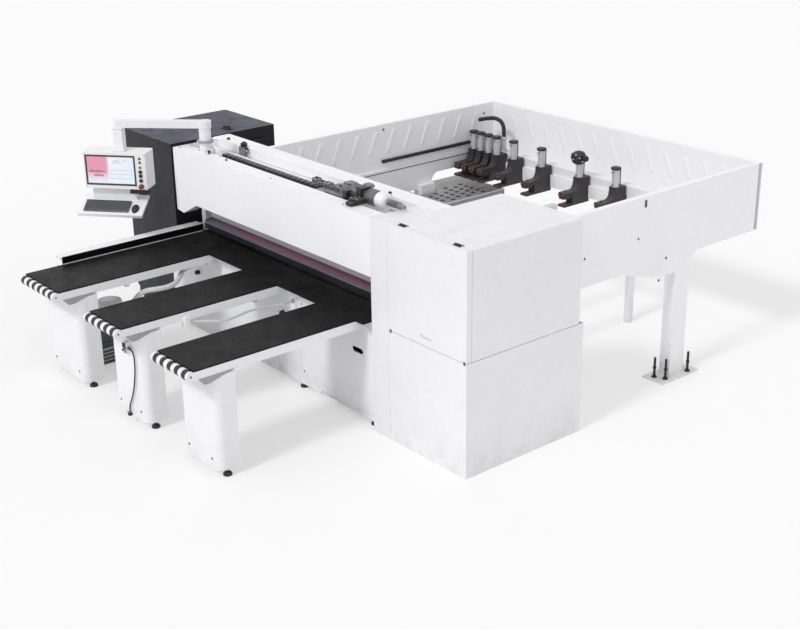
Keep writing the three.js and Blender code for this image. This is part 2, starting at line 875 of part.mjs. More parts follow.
function tableComb(table) {
  const back = nosePocketBack + noseTabDepth;
  const high = noseAxis[1] + noseRadius;
  const comb = prism('x', [[noseAxis[0], noseAxis[1] - noseRadius], [back, railBottom], [back, frameTop],
    [-tableReach - seat, frameTop], [noseAxis[0], high]], table.left, table.right);
  let body = joined(comb, rod('x', noseAxis, noseRadius, table.left, table.right, smallSteps));
  for (const left of noseWheelLefts(table)) {
    body = without(body, block([left, left + noseWheelWidth],
      [noseAxis[0] - noseRadius - overrun, nosePocketBack], [noseAxis[1] - noseRadius - overrun, tableHeight + overrun]));
  }
  const axleHole = rod('x', noseAxis, boreFor(noseAxleRadius, pinSteps), table.left - overrun, table.right + overrun, pinSteps);
  return without(body, axleHole);
}

function tableFrame(table) {
  const back = baseFront - seat;
  const front = nosePocketBack + seat;
  const zs = [railBottom, frameTop];
  let body = joined(tableComb(table), block([table.right - railWidth, table.right], [front, back], zs),
    block([table.left, table.left + railWidth], [front, back], zs));
  for (let i = 0; i < crossCount; i += 1) {
    const y = front + ((back - crossWidth - front) * (i + 1)) / crossCount;
    body = joined(body, block([table.left, table.right], [y, y + crossWidth], zs));
  }
  return body;
}

function tableFoot(x, y) {
  const profile = [
    new THREE.Vector2(0, 0), new THREE.Vector2(tableFootRadius, 0),
    new THREE.Vector2(tableFootRadius, tableFootHeight * tableFootRimShare),
    new THREE.Vector2(tableFootRadius * tableFootTopShare, tableFootHeight),
    new THREE.Vector2(tableStemRadius, tableFootHeight), new THREE.Vector2(tableStemRadius, legBottom + legSheet),
    new THREE.Vector2(0, legBottom + legSheet),
  ];
  const lathe = new THREE.LatheGeometry(profile, smallSteps);
  lathe.rotateX(Math.PI / 2);
  lathe.translate(x, y, 0);
  return solidOf(lathe);
}

// The leg is one wide folded sheet, rounded at its front corners and open behind, hung below the rails.
function tableLeg(table) {
  const back = legFront + legDepth;
  const top = railBottom - legSpacer;
  const outer = prism('z', roundedShape([table.left, table.right], [legFront, back], [legCorner, legCorner, 0, 0]), legBottom, top);
  const innerCorner = legCorner - legSheet;
  const inner = prism('z', roundedShape([table.left + legSheet, table.right - legSheet], [legFront + legSheet, back + overrun],
    [innerCorner, innerCorner, 0, 0]), legBottom + legSheet, top - legSheet);
  const spacerFront = legFront + legSpacerInset;
  const spacer = block([table.left + legSpacerInset, table.right - legSpacerInset], [spacerFront, back], [top - legSheet, railBottom + overrun]);
  const ties = [spacerFront, back - crossWidth].map((y) => block([table.left, table.right], [y, y + crossWidth], [railBottom, frameTop]));
  const feet = [table.left + tableFootInset, table.right - tableFootInset].map((x) => tableFoot(x, (legFront + back) / 2));
  return joined(without(outer, inner), spacer, ...ties, ...feet);
}

function tableSupport(table) {
  const body = joined(tableFrame(table), tableLeg(table));
  return table.name === 'middle' ? joined(body, junctionBox(), cableGland(), hoseBracket()) : body;
}

function junctionBox() {
  const x = junctionBoxMiddle;
  return block([x - junctionBoxWidth / 2, x + junctionBoxWidth / 2], [legFront - junctionBoxDepth, legFront + legSheet / 2],
    [junctionBoxLow, junctionBoxLow + junctionBoxHeight]);
}

function cableGland() {
  return block([cableGlandX - cableGlandWidth / 2, cableGlandX + cableGlandWidth / 2],
    [legFront - cableGlandDepth - cableRadius, legFront + legSheet / 2], [legBottom, legBottom + cableGlandHeight]);
}

function hoseBracket() {
  const right = tables[1].right;
  return block([right - hoseBracketOverlap, right + hoseBracketReach], [hoseBracketY - hoseBracketDepth, hoseBracketY],
    [railBottom - hoseBracketHeight + railWidth, railBottom + railWidth]);
}

function noseRollers(table) {
  let body = rod('x', noseAxis, noseAxleRadius, table.left + noseSideGap, table.right - noseSideGap, pinSteps);
  for (const left of noseWheelLefts(table)) {
    body = joined(body, rod('x', noseAxis, noseRadius, left + noseSideGap, left + noseWheelWidth - noseSideGap));
  }
  return body;
}

// Fence

function fenceRail() {
  const right = fenceRight - seat;
  const left = right - fenceWidth;
  const bottom = fenceTop - fenceHeight;
  const rail = prism('y', roundedShape([left, right], [bottom, fenceTop], [0, 0, 0, sheet]), fenceFront, fenceBack);
  const middle = bottom + fenceHeight / 2;
  const groove = block([left - overrun, left + sheet], [fenceFront - overrun, fenceBack + overrun], [middle - sheet * 2, middle + sheet * 2]);
  const onBase = block([left - overrun, right + overrun], [baseFront - seat, fenceBack + overrun], [bottom - overrun, baseTop + seat]);
  return without(rail, groove, onBase);
}

function fenceFace() {
  return block([fenceRight, fenceRight + fenceFaceThickness], [fenceFront, fenceBack], [tableHeight + fenceFaceLift, fenceTop]);
}

// Pressure beam with its lifting rods

function pressureBeam() {
  const front = pressureFront;
  const back = pressureBack;
  const low = pressureBottom;
  const grooveFront = sawLineDepth - bladeGroove / 2;
  const grooveBack = sawLineDepth + bladeGroove / 2;
  const webFront = sawLineDepth - pressureWeb / 2;
  const webBack = sawLineDepth + pressureWeb / 2;
  const lipTop = low + pressureLip;
  const neck = lipTop + pressureShoulder;
  const outline = [
    [front, low], [grooveFront, low], [grooveFront, low + grooveDepth], [grooveBack, low + grooveDepth], [grooveBack, low],
    [back, low], [back, lipTop], [webBack, neck], [webBack, pressureTop], [webFront, pressureTop], [webFront, neck], [front, lipTop],
  ];
  const bar = prism('x', outline, pressureLeft, pressureRight);
  const rods = pressPlaces().map((x) => rod('z', [x, sawLineDepth], pressRodRadius, pressureTop - overrun,
    girderBottom + pressRodReach, smallSteps));
  const room = block([beamLeft, columnLeft], [webFront + pressureWall, webBack - pressureWall],
    [low + grooveDepth + pressureWall, pressureTop - pressureWall]);
  return joined(without(bar, room), ...rods);
}

// Saw carriage, lift and blades

const sawRailTop = ledgeBottom + ledgeHeight + sawRailSize;
const carriageRight = carriageLeft + carriageLength;
const carriageBottom = sawRailTop + seat;
const mainBladeX = carriageLeft + mainBladeInset;
const scoreBladeX = carriageLeft + scoreBladeInset;
const mainBladeZ = plateBottom - mainBladeTopDrop - mainBladeRadius;
const scoreBladeZ = plateBottom - scoreBladeTopDrop - scoreBladeRadius;
const liftPostBack = liftFace + liftPlateThickness + liftRunnerWall + liftPostSize;
const liftRear = liftPostBack + liftRunnerWall;
const liftLow = carriageBottom + bearingHeight + carriagePlate + liftPlateRise;
const liftPostPlaces = [carriageLeft + leftPostInset, carriageRight - rightPostInset];

function sawCarriage() {
  const high = carriageBottom + bearingHeight;
  const reach = bearingInset / 3;
  const plate = block([carriageLeft, carriageRight], [frontSawRail - reach, backSawRail + sawRailSize + reach],
    [high, high + carriagePlate]);
  const window = prism('z', rounded([carriageLeft + bearingLength, carriageRight - bearingLength],
    [frontSawRail + sawRailSize + bearingInset, sawLineDepth + bearingInset], bearingInset), high - overrun, high + carriagePlate + overrun);
  const bearings = [];
  for (const x of [carriageLeft, carriageRight - bearingLength]) {
    for (const y of [frontSawRail, backSawRail]) {
      bearings.push(block([x, x + bearingLength], [y - reach, y + sawRailSize + reach], [carriageBottom, high + overrun / 2]));
    }
  }
  const posts = liftPostPlaces.map((x) => block([x - liftPostSize / 2, x + liftPostSize / 2],
    [liftPostBack - liftPostSize, liftPostBack], [high, liftLow + liftPlateHeight + liftPostSpare]));
  return joined(without(plate, window), ...bearings, ...posts);
}

// The lift plate slides on the two posts and holds both motors, whose arbors pass through to the blades.
function sawLift() {
  const low = liftLow;
  const back = liftFace + liftPlateThickness;
  let body = block([carriageLeft + bearingInset, carriageRight - bearingInset], [liftFace, back], [low, low + liftPlateHeight]);
  const zs = [low + bearingInset, low + liftPlateHeight - bearingInset];
  const half = liftPostSize / 2;
  for (const x of liftPostPlaces) {
    const sleeve = block([x - half - liftRunnerWall, x + half + liftRunnerWall], [back - overrun / 2, liftRear], zs);
    const room = block([x - half - seat, x + half + seat], [liftPostBack - liftPostSize - seat, liftPostBack + seat],
      [zs[0] - overrun, zs[1] + overrun]);
    body = joined(body, without(sleeve, room));
  }
  const front = liftFace - motorGap;
  const mainMotor = rod('y', [mainBladeX, mainBladeZ], mainMotorRadius, front, liftRear + mainMotorLength / 2);
  const scoreMotor = rod('y', [scoreBladeX, scoreBladeZ], scoreMotorRadius, front, liftRear);
  const bores = [[mainBladeX, mainBladeZ], [scoreBladeX, scoreBladeZ]].map((centre) => rod('y', centre, boreFor(arborRadius, smallSteps),
    front - overrun, liftFace + arborReach + seat, smallSteps));
  return without(joined(body, mainMotor, scoreMotor), ...bores);
}

// One tooth of a circular blade as pairs of share of the pitch and depth below the tip circle.
const toothShares = [[0, 0], [0.45, 0.25], [0.62, 1]];

function bladeDisc(centre, radius, teeth) {
  const outline = [];
  const pitch = (2 * Math.PI) / teeth;
  for (let i = 0; i < teeth; i += 1) {
    for (const [turnShare, depthShare] of toothShares) {
      const angle = (i + turnShare) * pitch;
      const reach = radius - toothDepth * depthShare;
      outline.push([centre[0] + reach * Math.cos(angle), centre[1] + reach * Math.sin(angle)]);
    }
  }
  return prism('y', outline, sawLineDepth - mainBladeThickness / 2, sawLineDepth + mainBladeThickness / 2);
}

function bladeWithArbor(centre, radius, teeth, flange) {
  const half = mainBladeThickness / 2;
  const flanges = rod('y', centre, flange, sawLineDepth - half - flangeThickness, sawLineDepth + half + flangeThickness);
  const arbor = rod('y', centre, arborRadius, sawLineDepth - half - flangeThickness - arborNutLength, liftFace + arborReach, smallSteps);
  return joined(bladeDisc(centre, radius, teeth), flanges, arbor);
}

// Side aligner on the beam

function alignerCarriage() {
  const xs = [alignerLeft, alignerLeft + alignerLength];
  const railFront = alignerRailBack - alignerRailWidth;
  const low = girderTop + alignerRailHeight + seat;
  const bridgeLow = girderTop + bridgeRise;
  const deck = bridgeLow + alignerPlate;
  const saddle = block(xs, [railFront - sheet, alignerRailBack + sheet], [low, deck]);
  const bridge = block(xs, [bridgeFront, alignerRailBack + sheet], [bridgeLow, deck]);
  const notch = block([xs[0] + alignerArmInset * 2, xs[1] + overrun], [bridgeFront - overrun, girderFront + alignerArmInset],
    [bridgeLow - overrun, deck + overrun]);
  const motorZ = deck + gearboxSize / 2 - overrun / 2;
  const motorY = alignerMotorY;
  const half = gearboxSize / 2;
  const gearbox = prism('x', rounded([motorY - half, motorY + half], [motorZ - half, motorZ + half], sheet), xs[1] - gearboxLength, xs[1]);
  const motor = rod('x', [motorY, motorZ], alignerMotorRadius, xs[1] - overrun, xs[1] + alignerMotorLength);
  const ribRight = xs[1] - gearboxLength + overrun;
  const rib = prism('y', [[xs[0] + alignerLength / 2, deck - overrun], [ribRight, deck - overrun], [ribRight, motorZ + half],
    [ribRight - alignerArmWidth / 2, motorZ + half]], motorY - alignerPlate / 2, motorY + alignerPlate / 2);
  const guideLeft = xs[0] + alignerArmInset / 2;
  const guide = block([guideLeft, guideLeft + alignerArmWidth], [bridgeFront, bridgeFront + alignerPlate],
    [coverBottom + alignerGuideRise, bridgeLow + overrun]);
  return joined(without(joined(saddle, bridge), notch), guide, gearbox, motor, rib);
}

function alignerArm() {
  const back = bridgeFront - seat;
  const left = alignerLeft + alignerArmInset / 2;
  const right = left + alignerArmWidth;
  const middle = (left + right) / 2;
  const strip = block([left, right], [back - alignerArmThickness, back], [alignerPadBottom, beamTop - alignerArmTopGap]);
  const pad = prism('x', rounded([back - alignerPadDepth, back], [alignerPadBottom, alignerPadBottom + alignerPadHeight], sheet),
    middle - alignerPadWidth / 2, middle + alignerPadWidth / 2);
  return joined(strip, pad);
}

// Energy chain along an axis: one side outline with a notch between every two links, top and bottom.
function energyChain(axis, from, length, across, up, core) {
  const count = Math.floor(length / chainLinkPitch);
  const notch = (up[1] - up[0] - core) / 2;
  const upper = [];
  const lower = [];
  for (let i = 0; i < count; i += 1) {
    const start = from + i * chainLinkPitch;
    const end = start + chainLinkPitch - chainLinkGap;
    upper.push([start, up[1]], [end, up[1]]);
    lower.push([start, up[0]], [end, up[0]]);
    if (i < count - 1) {
      const next = start + chainLinkPitch;
      upper.push([end, up[1] - notch], [next, up[1] - notch]);
      lower.push([end, up[0] + notch], [next, up[0] + notch]);
    }
  }
  return prism(axis, [...lower, ...upper.reverse()], across[0], across[1]);
}

function alignerChain() {
  const low = girderTop + seat;
  return energyChain('y', chainLeft, chainLength, [chainBack - chainWidth, chainBack], [low, low + chainHeight], chainCore);
}

function wallChain() {
  const left = rearLeft + rearWallThickness + seat;
  const low = rearWallBottom + wallChainRise;
  return energyChain('x', wallChainFront, wallChainLength, [left, left + wallChainWidth], [low, low + wallChainHeight],
    wallChainCore);
}

// Rear frame

const wallInnerLeft = rearLeft + rearWallThickness;
const wallInnerRight = rearRight - rearWallThickness;

// A wall is a closed box of sheet along an axis, open only at its ends.
function wallBox(axis, across, from, to) {
  const zs = [rearWallBottom, rearWallTop];
  const outer = [[across[0], zs[0]], [across[1], zs[0]], [across[1], zs[1]], [across[0], zs[1]]];
  const t = rearSheet;
  const inner = [[across[0] + t, zs[0] + t], [across[1] - t, zs[0] + t], [across[1] - t, zs[1] - t], [across[0] + t, zs[1] - t]];
  return without(prism(axis, outer, from, to), prism(axis, inner, from - overrun, to + overrun));
}

// The leg grows out of the wall's lower edge: a long sloping gusset in front and a small round one behind.
function rearLeg(outer, inner, side) {
  const front = rearLegFront;
  const back = rearLegFront + rearLegDepth;
  const low = basePlateThickness;
  const wallLow = rearWallBottom + rearSheet;
  const round = rearGussetRadius;
  const shape = new THREE.Shape();
  shape.moveTo(front, low);
  shape.lineTo(back, low);
  shape.lineTo(back, wallLow - round);
  shape.absarc(back + round, wallLow - round, round, Math.PI, Math.PI / 2, true);
  shape.lineTo(front - rearGussetReach, wallLow);
  shape.quadraticCurveTo(front - rearGussetReach / 2, wallLow - rearGussetDrop * rearGussetSagShare, front, wallLow - rearGussetDrop);
  const leg = prism('x', shape, Math.min(outer, inner), Math.max(outer, inner));
  const stout = outer + side * rearLegThickness;
  const post = block([Math.min(outer, stout), Math.max(outer, stout)], [front, back], [low, pusherBottom - rearLegHeadroom]);
  const middle = (outer + stout) / 2;
  const centre = (front + back) / 2;
  const plate = block([middle - basePlateWidth / 2, middle + basePlateWidth / 2],
    [centre - basePlateLength / 2, centre + basePlateLength / 2], [0, basePlateThickness]);
  return joined(leg, post, plate);
}

// A side wall with the ledge on its inner face that carries the pusher's runner.
function sideWall(outer, inner, from) {
  const to = rearBack - rearWallThickness - seat;
  const side = Math.sign(inner - outer);
  const box = wallBox('y', [Math.min(outer, inner), Math.max(outer, inner)], from, to);
  const ledgeEdges = [inner - side * rearSheet, inner + side * rearRailDepth];
  const low = rearWallBottom + rearRailRise;
  const ledge = block([Math.min(...ledgeEdges), Math.max(...ledgeEdges)], [from, to], [low, low + rearRailHeight]);
  return joined(box, ledge, rearLeg(outer, inner, side));
}

function backWall() {
  return wallBox('x', [rearBack - rearWallThickness, rearBack], rearLeft, rearRight);
}

// Rear support tables

// The deck passes under the left wall and is notched around that wall's leg.
function floatTable() {
  const under = tableHeight - floatThickness;
  const xs = [floatLeft, floatLeft + floatWidth];
  const low = under - floatRibDepth;
  const ribLeft = rearLeft + rearLegThickness + floatNotchGap;
  const zs = [low, under + overrun];
  const deck = block(xs, [floatFront, floatBack], [under, tableHeight]);
  const legRoom = block([xs[0] - overrun, ribLeft], [rearLegFront - floatNotchGap, rearLegFront + rearLegDepth + floatNotchGap],
    [under - overrun, tableHeight + overrun]);
  let body = without(deck, legRoom);
  for (const x of [ribLeft, xs[1] - floatRibWidth]) {
    body = joined(body, block([x, x + floatRibWidth], [floatFront, floatBack], zs));
  }
  for (const y of [floatFront, (floatFront + floatBack) / 2, floatBack - floatRibWidth]) {
    body = joined(body, block([ribLeft, xs[1]], [y, y + floatRibWidth], zs));
  }
  for (const x of [ribLeft, xs[1] - floatLegSize]) {
    body = joined(body, block([x, x + floatLegSize], [floatBack - floatLegSize, floatBack], [0, low + overrun]));
  }
  return body;
}

function supportRails() {
  const high = tableHeight;
  const low = high - supportRailHeight;
  const last = supportRailLeft + (supportRailCount - 1) * supportRailPitch + supportRailWidth;
  const back = floatBack;
  const beamLow = low - floatLegSize;
  let body = joined(block([supportRailLeft, last], [back - floatLegSize, back], [beamLow, low + overrun]),
    block([supportRailLeft, last], [floatFront, floatFront + floatRibWidth], [low, low + floatRibWidth]));
  for (let i = 0; i < supportRailCount; i += 1) {
    const x = supportRailLeft + i * supportRailPitch;
    const crown = roundedShape([x, x + supportRailWidth], [low, high], [0, 0, sheet * 2, sheet * 2]);
    const room = block([x + sheet, x + supportRailWidth - sheet], [floatFront - overrun, back + overrun], [low + sheet, high - sheet]);
    body = without(joined(body, prism('y', crown, floatFront, back)), room);
  }
  for (const x of [supportRailLeft, last - floatLegSize]) {
    body = joined(body, block([x, x + floatLegSize], [back - floatLegSize, back], [0, beamLow + overrun]));
  }
  return body;
}

// Pusher and grippers

const ledgeTop = rearWallBottom + rearRailRise + rearRailHeight;

function pusherBeam() {
  const left = pusherLeft;
  const right = pusherRight;
  const ys = [pusherFront, pusherFront + pusherDepth];
  const zs = [pusherBottom, pusherBottom + pusherHeight];
  const tube = prism('x', rounded(ys, zs, sheet), left, right);
  const room = block([left - overrun, right + overrun], [ys[0] + sheet, ys[1] - sheet], [zs[0] + sheet, zs[1] - sheet]);
  const foot = ledgeTop + seat;
  const runnerYs = [ys[0], ys[0] + runnerLength];
  const runnerZs = [foot, foot + runnerDepth];
  const runners = [block([wallInnerLeft + seat, left + runnerOverlap], runnerYs, runnerZs),
    block([right - runnerOverlap, wallInnerRight - seat], runnerYs, runnerZs)];
  const hangers = [[left, left + hangerWidth], [right - hangerWidth, right]].map((xs) => block(xs, ys, [zs[1] - sheet, runnerZs[1]]));
  return joined(without(tube, room), ...runners, ...hangers);
}

const pusherLeft = wallInnerLeft + rearRailDepth + pusherEndGap;
const pusherRight = wallInnerRight - rearRailDepth - pusherEndGap;
const gripperPlaces = gripperShares.map((share) => pusherLeft + gripperWidth / 2 + share * (pusherRight - pusherLeft - gripperWidth));
const gripperHeel = pusherFront - seat - gripperBankThickness / 2;
const gripperToe = gripperHeel - gripperLength;
const gripperToeTop = gripperBottom + gripperToeHeight;
const gripperAnkleTop = gripperBottom + gripperAnkleHeight;
const gripperAnkleFront = gripperHeel - gripperAnkleDepth;
const mouthBack = gripperToe + gripperMouthDepth;
const mouthLow = gripperBottom + gripperSole;
const mouthHigh = mouthLow + gripperMouthHeight;
const jawStemY = gripperToe + gripperMouthDepth / 2;

// Side outline of one gripper, (y, z): a boot whose toe opens in front as the mouth that takes the panel's edge.
function gripperShape() {
  const shape = new THREE.Shape();
  shape.moveTo(gripperToe, gripperBottom);
  shape.lineTo(gripperHeel, gripperBottom);
  shape.lineTo(gripperHeel, gripperAnkleTop);
  shape.lineTo(gripperAnkleFront, gripperAnkleTop);
  shape.quadraticCurveTo(gripperAnkleFront, gripperToeTop + gripperBend, gripperAnkleFront - gripperSlope, gripperToeTop);
  shape.lineTo(gripperToe, gripperToeTop);
  shape.lineTo(gripperToe, mouthHigh);
  shape.lineTo(mouthBack, mouthHigh);
  shape.lineTo(mouthBack, mouthLow);
  shape.lineTo(gripperToe, mouthLow);
  return shape;
}

function gripperBank() {
  const first = gripperPlaces[0] - gripperWidth / 2;
  const last = gripperPlaces[gripperPlaces.length - 1] + gripperWidth / 2;
  const low = pusherBottom + bankRise;
  let body = block([first, last], [gripperHeel - overrun, pusherFront - seat], [low, low + bankHeight]);
  const cylinderY = gripperAnkleFront + cylinderRadius + sheet;
  const cylinderTop = gripperAnkleTop + cylinderHeight;
  for (const x of gripperPlaces) {
    const casting = prism('x', gripperShape(), x - gripperWidth / 2, x + gripperWidth / 2);
    const barrel = rod('z', [x, cylinderY], cylinderRadius, gripperAnkleTop - overrun, cylinderTop, pinSteps);
    const cap = rod('z', [x, cylinderY], capRadius, cylinderTop, cylinderTop + capHeight, pinSteps);
    const bore = rod('z', [x, jawStemY], jawRodRadius + seat, mouthHigh - overrun, gripperToeTop + overrun, pinSteps);
    body = without(joined(body, casting, barrel, cap), bore);
  }
  return body;
}

function gripperJaw(x) {
  const high = mouthHigh - jawGap;
  const pad = block([x - jawWidth / 2, x + jawWidth / 2], [gripperToe + jawGap, mouthBack - sheet], [high - jawThickness, high]);
  const stem = rod('z', [x, jawStemY], jawRodRadius, high - overrun / 2, gripperToeTop + jawStemRise, pinSteps);
  return joined(pad, stem);
}

// Console

const caseBottom = tableHeight + caseRise;
const caseTop = caseBottom + caseHeight;
const armBottom = Math.max(beamTop, caseTop) + consoleDropLength;
const consolePostHeight = armBottom - beamTop - 2 * seat;
const caseFront = -caseDepth / 2;
const armTurn = THREE.MathUtils.degToRad(consoleTurnDegrees);

// A group on the axis on which the case hangs from the arm's free end.
function onHeadAxis(turn) {
  const group = new THREE.Group();
  group.position.set(consolePostX - consoleArmLength * Math.cos(armTurn), consolePostY - consoleArmLength * Math.sin(armTurn), 0);
  group.rotation.z = turn;
  layout.add(group);
  return group;
}

const armGroup = onHeadAxis(armTurn);
const caseGroup = onHeadAxis(THREE.MathUtils.degToRad(caseTurnDegrees));

function consolePost() {
  const profile = [
    new THREE.Vector2(0, 0), new THREE.Vector2(consoleCollarRadius, 0),
    new THREE.Vector2(consoleCollarRadius, consoleCollarHeight / 2), new THREE.Vector2(consolePostRadius, consoleCollarHeight),
    new THREE.Vector2(consolePostRadius, consolePostHeight), new THREE.Vector2(0, consolePostHeight),
  ];
  const lathe = new THREE.LatheGeometry(profile, roundSteps);
  lathe.rotateX(Math.PI / 2);
  lathe.translate(consolePostX, consolePostY, beamTop + seat);
  return solidOf(lathe);
}

// The arm runs from the head's axis at zero to the post's axis along its own +X, where its hub is wider.
function consoleArm() {
  const half = consoleArmWidth / 2;
  const shape = new THREE.Shape();
  shape.absarc(0, 0, half, Math.PI / 2, (3 * Math.PI) / 2, false);
  shape.absarc(consoleArmLength, 0, half, -Math.PI / 2, Math.PI / 2, false);
  const zs = [armBottom, armBottom + consoleArmHeight];
  return joined(prism('z', shape, ...zs), rod('z', [consoleArmLength, 0], consoleHubRadius, ...zs));
}

function onPanel(share) {
  return [buttonColumn, caseTop - caseHeight * share];
}

function consoleCase() {
  const back = caseDepth / 2;
  const front = caseFront;
  const left = caseShift - caseWidth / 2;
  const right = caseShift + caseWidth / 2;
  const body = prism('z', roundedShape([left, right], [front, back], [sheet, sheet, caseCorner, caseCorner]), caseBottom, caseTop);
  const screenLeft = screenShift - screenWidth / 2;
  const screenTop = caseTop - screenTopMargin;
  const cuts = [block([screenLeft, screenLeft + screenWidth], [front - overrun, front + screenRecess], [screenTop - screenHeight, screenTop])];
  for (const share of buttonHeightShares) {
    cuts.push(rod('y', onPanel(share), buttonSocketRadius, front - overrun, front + buttonSocketDepth, smallSteps));
    cuts.push(rod('y', onPanel(share), buttonStemRadius + buttonTravelGap, front, front + buttonStemDepth, smallSteps));
  }
  cuts.push(rod('y', onPanel(stopHeightShare), stopStemRadius + buttonTravelGap, front - overrun, front + buttonStemDepth, smallSteps));
  cuts.push(block([left + caseWall, right - caseWall], [front + casePanelDepth, back - caseWall], [caseBottom + caseWall, caseTop - caseWall]));
  for (let i = 0; i < caseVentCount; i += 1) {
    const high = caseTop - caseVentDrop - i * caseVentPitch;
    cuts.push(block([caseShift - caseVentWidth / 2, caseShift + caseVentWidth / 2], [back - caseWall - overrun, back + overrun], [high - caseVentHeight, high]));
  }
  const lamps = lampHeightShares.map((share) => rod('y', onPanel(share), lampRadius, front - lampStand, front + overrun, smallSteps));
  const halfTube = dropTubeSize / 2;
  const tube = block([-halfTube, halfTube], [-halfTube, halfTube], [caseTop - overrun, armBottom - seat]);
  const neckFall = trayNeckDepth * Math.tan(THREE.MathUtils.degToRad(trayTiltDegrees));
  const neckFoot = trayTop - trayThickness / 2;
  const neckOutline = [[trayRear - trayNeckDepth, neckFoot - neckFall], [trayRear, neckFoot], [trayRear, caseBottom + overrun],
    [trayRear - trayNeckDepth, caseBottom + overrun]];
  const neck = prism('x', neckOutline, trayShift - trayNeckWidth / 2, trayShift + trayNeckWidth / 2);
  return joined(without(joined(body, ...lamps), ...cuts), tube, neck, consoleTray());
}

// The tray leans towards the operator; it is made flat and turned about its rear edge.
const trayRear = caseFront + trayRearInset;
const trayTop = caseBottom - trayNeckHeight;

function leaned(geometry) {
  geometry.rotateX(THREE.MathUtils.degToRad(trayTiltDegrees));
  geometry.translate(0, trayRear, trayTop);
  return solidOf(geometry);
}

function consoleTray() {
  const middle = trayShift;
  const plate = new THREE.BoxGeometry(trayWidth, trayDepth, trayThickness);
  plate.translate(middle, -trayDepth / 2, -trayThickness / 2);
  const lip = new THREE.BoxGeometry(trayWidth, trayLipWidth, trayThickness + trayLip);
  lip.translate(middle, -trayDepth + trayLipWidth / 2, (trayLip - trayThickness) / 2);
  return joined(leaned(plate), leaned(lip));
}

function keyboard() {
  const outline = [
    [-keyboardDepth, 0], [0, 0], [0, keyboardHeight], [-keyboardDepth + keyboardTaper, keyboardHeight - keyboardTaper],
    [-keyboardDepth, keyboardFrontHeight],
  ];
  const made = new THREE.ExtrudeGeometry(shapeOf(outline), { depth: keyboardWidth, bevelEnabled: false });
  layAlong(made, 'x', -keyboardWidth / 2, keyboardWidth / 2);
  made.translate(keyboardShift, -trayDepth + trayLipWidth + keyboardInset + keyboardDepth, seat);
  return leaned(made);
}

function pushButton(share) {
  const cap = rod('y', onPanel(share), buttonRadius, caseFront - buttonStand, caseFront + buttonStand / 3, smallSteps);
  const stem = rod('y', onPanel(share), buttonStemRadius, caseFront, caseFront + buttonSocketDepth + sheet, smallSteps);
  return joined(cap, stem);
}

function emergencyStop() {
  const front = caseFront - stopStand;
  const head = rod('y', onPanel(stopHeightShare), stopRadius, front, front + stopHeadHeight);
  const stem = rod('y', onPanel(stopHeightShare), stopStemRadius, front + stopHeadHeight / 2, caseFront + buttonSocketDepth, smallSteps);
  return joined(head, stem);
}

// Electric cabinet

function electricShell() {
  const xs = [electricLeft, electricRight];
  const ys = [electricFront, electricFront + electricDepth];
  const shell = block(xs, ys, [0, electricHeight]);
  const w = electricWall;
  const room = block([xs[0] - overrun, xs[1] - w], [ys[0] + w, ys[1] - w], [electricPlinth + w, electricHeight - w]);
  const underside = block([xs[0] + w, xs[1] - w], [ys[0] + 2 * w, ys[1] - w], [-overrun, electricPlinth - w]);
  const plinth = block([xs[0] - overrun, xs[1] + overrun], [ys[0] - overrun, ys[0] + w], [-overrun, electricPlinth]);
  const ductFront = ys[0] + ductShift;
  const duct = block([xs[1] - sheet, baseLeft - seat], [ductFront, ductFront + ductDepth], [baseTop - ductDrop, baseTop - ductDrop + ductHeight]);
  return joined(without(shell, room, underside, plinth), duct);
}

function electricDoor() {
  const right = electricLeft - seat;
  const left = right - electricDoorDepth;
  const ys = [electricFront + sheet, electricFront + electricDepth - sheet];
  const zs = [electricPlinth + sheet, electricHeight - sheet];
  const pan = block([left, right], ys, zs);
  const hollow = block([left + sheet, right + overrun], [ys[0] + sheet, ys[1] - sheet], [zs[0] + sheet, zs[1] - sheet]);
  const latchY = ys[0] + latchInset;
  const latchZ = (zs[0] + zs[1]) / 2;
  const half = latchStemSize / 2;
  const stem = block([left - latchStand / 2, left + sheet / 2], [latchY - half, latchY + half], [latchZ - half, latchZ + half]);
  const bar = prism('x', rounded([latchY - latchWidth / 2, latchY + latchWidth / 2], [latchZ - latchLength, latchZ + latchWidth],
    latchCorner), left - latchStand, left - latchStand / 2);
  return joined(without(pan, hollow), stem, bar);
}

// Blower

const blowerMiddle = [blowerRight - blowerWidth / 2, blowerFront + blowerDepth / 2];

function blower() {
  const xs = [blowerRight - blowerWidth, blowerRight];
  const ys = [blowerFront, blowerFront + blowerDepth];
  const high = blowerFoot + blowerHeight;
  let body = prism('z', rounded(xs, ys, blowerCorner), blowerFoot, high);
  for (const x of [xs[0] + blowerFoot, xs[1] - 2 * blowerFoot]) {
    body = joined(body, block([x, x + blowerFoot], ys, [0, blowerFoot + overrun]));
  }
  const w = blowerWall;
  const room = block([xs[0] + w, xs[1] - w], [ys[0] + 2 * w, ys[1] - 2 * w], [-overrun, high - w]);
  body = joined(without(body, room), rod('z', blowerMiddle, blowerMotorRadius, high - overrun / 2, high + blowerMotorHeight));
  body = joined(body, rod('x', [blowerMiddle[1], spigotHeight], spigotRadius, blowerMiddle[0], blowerRight + spigotReach, smallSteps));
  for (let i = 0; i < blowerSlotCount; i += 1) {
    const low = 2 * blowerFoot + i * blowerSlotPitch;
    body = without(body, block([xs[1] - blowerSlotDepth, xs[1] + overrun], [ys[0] + blowerSlotInset, ys[1] - blowerSlotInset],
      [low, low + blowerSlotHeight]));
  }
  return body;
}

// Free hoses and the cable. Each route is a list of points that leaves its exit straight and hangs in between.

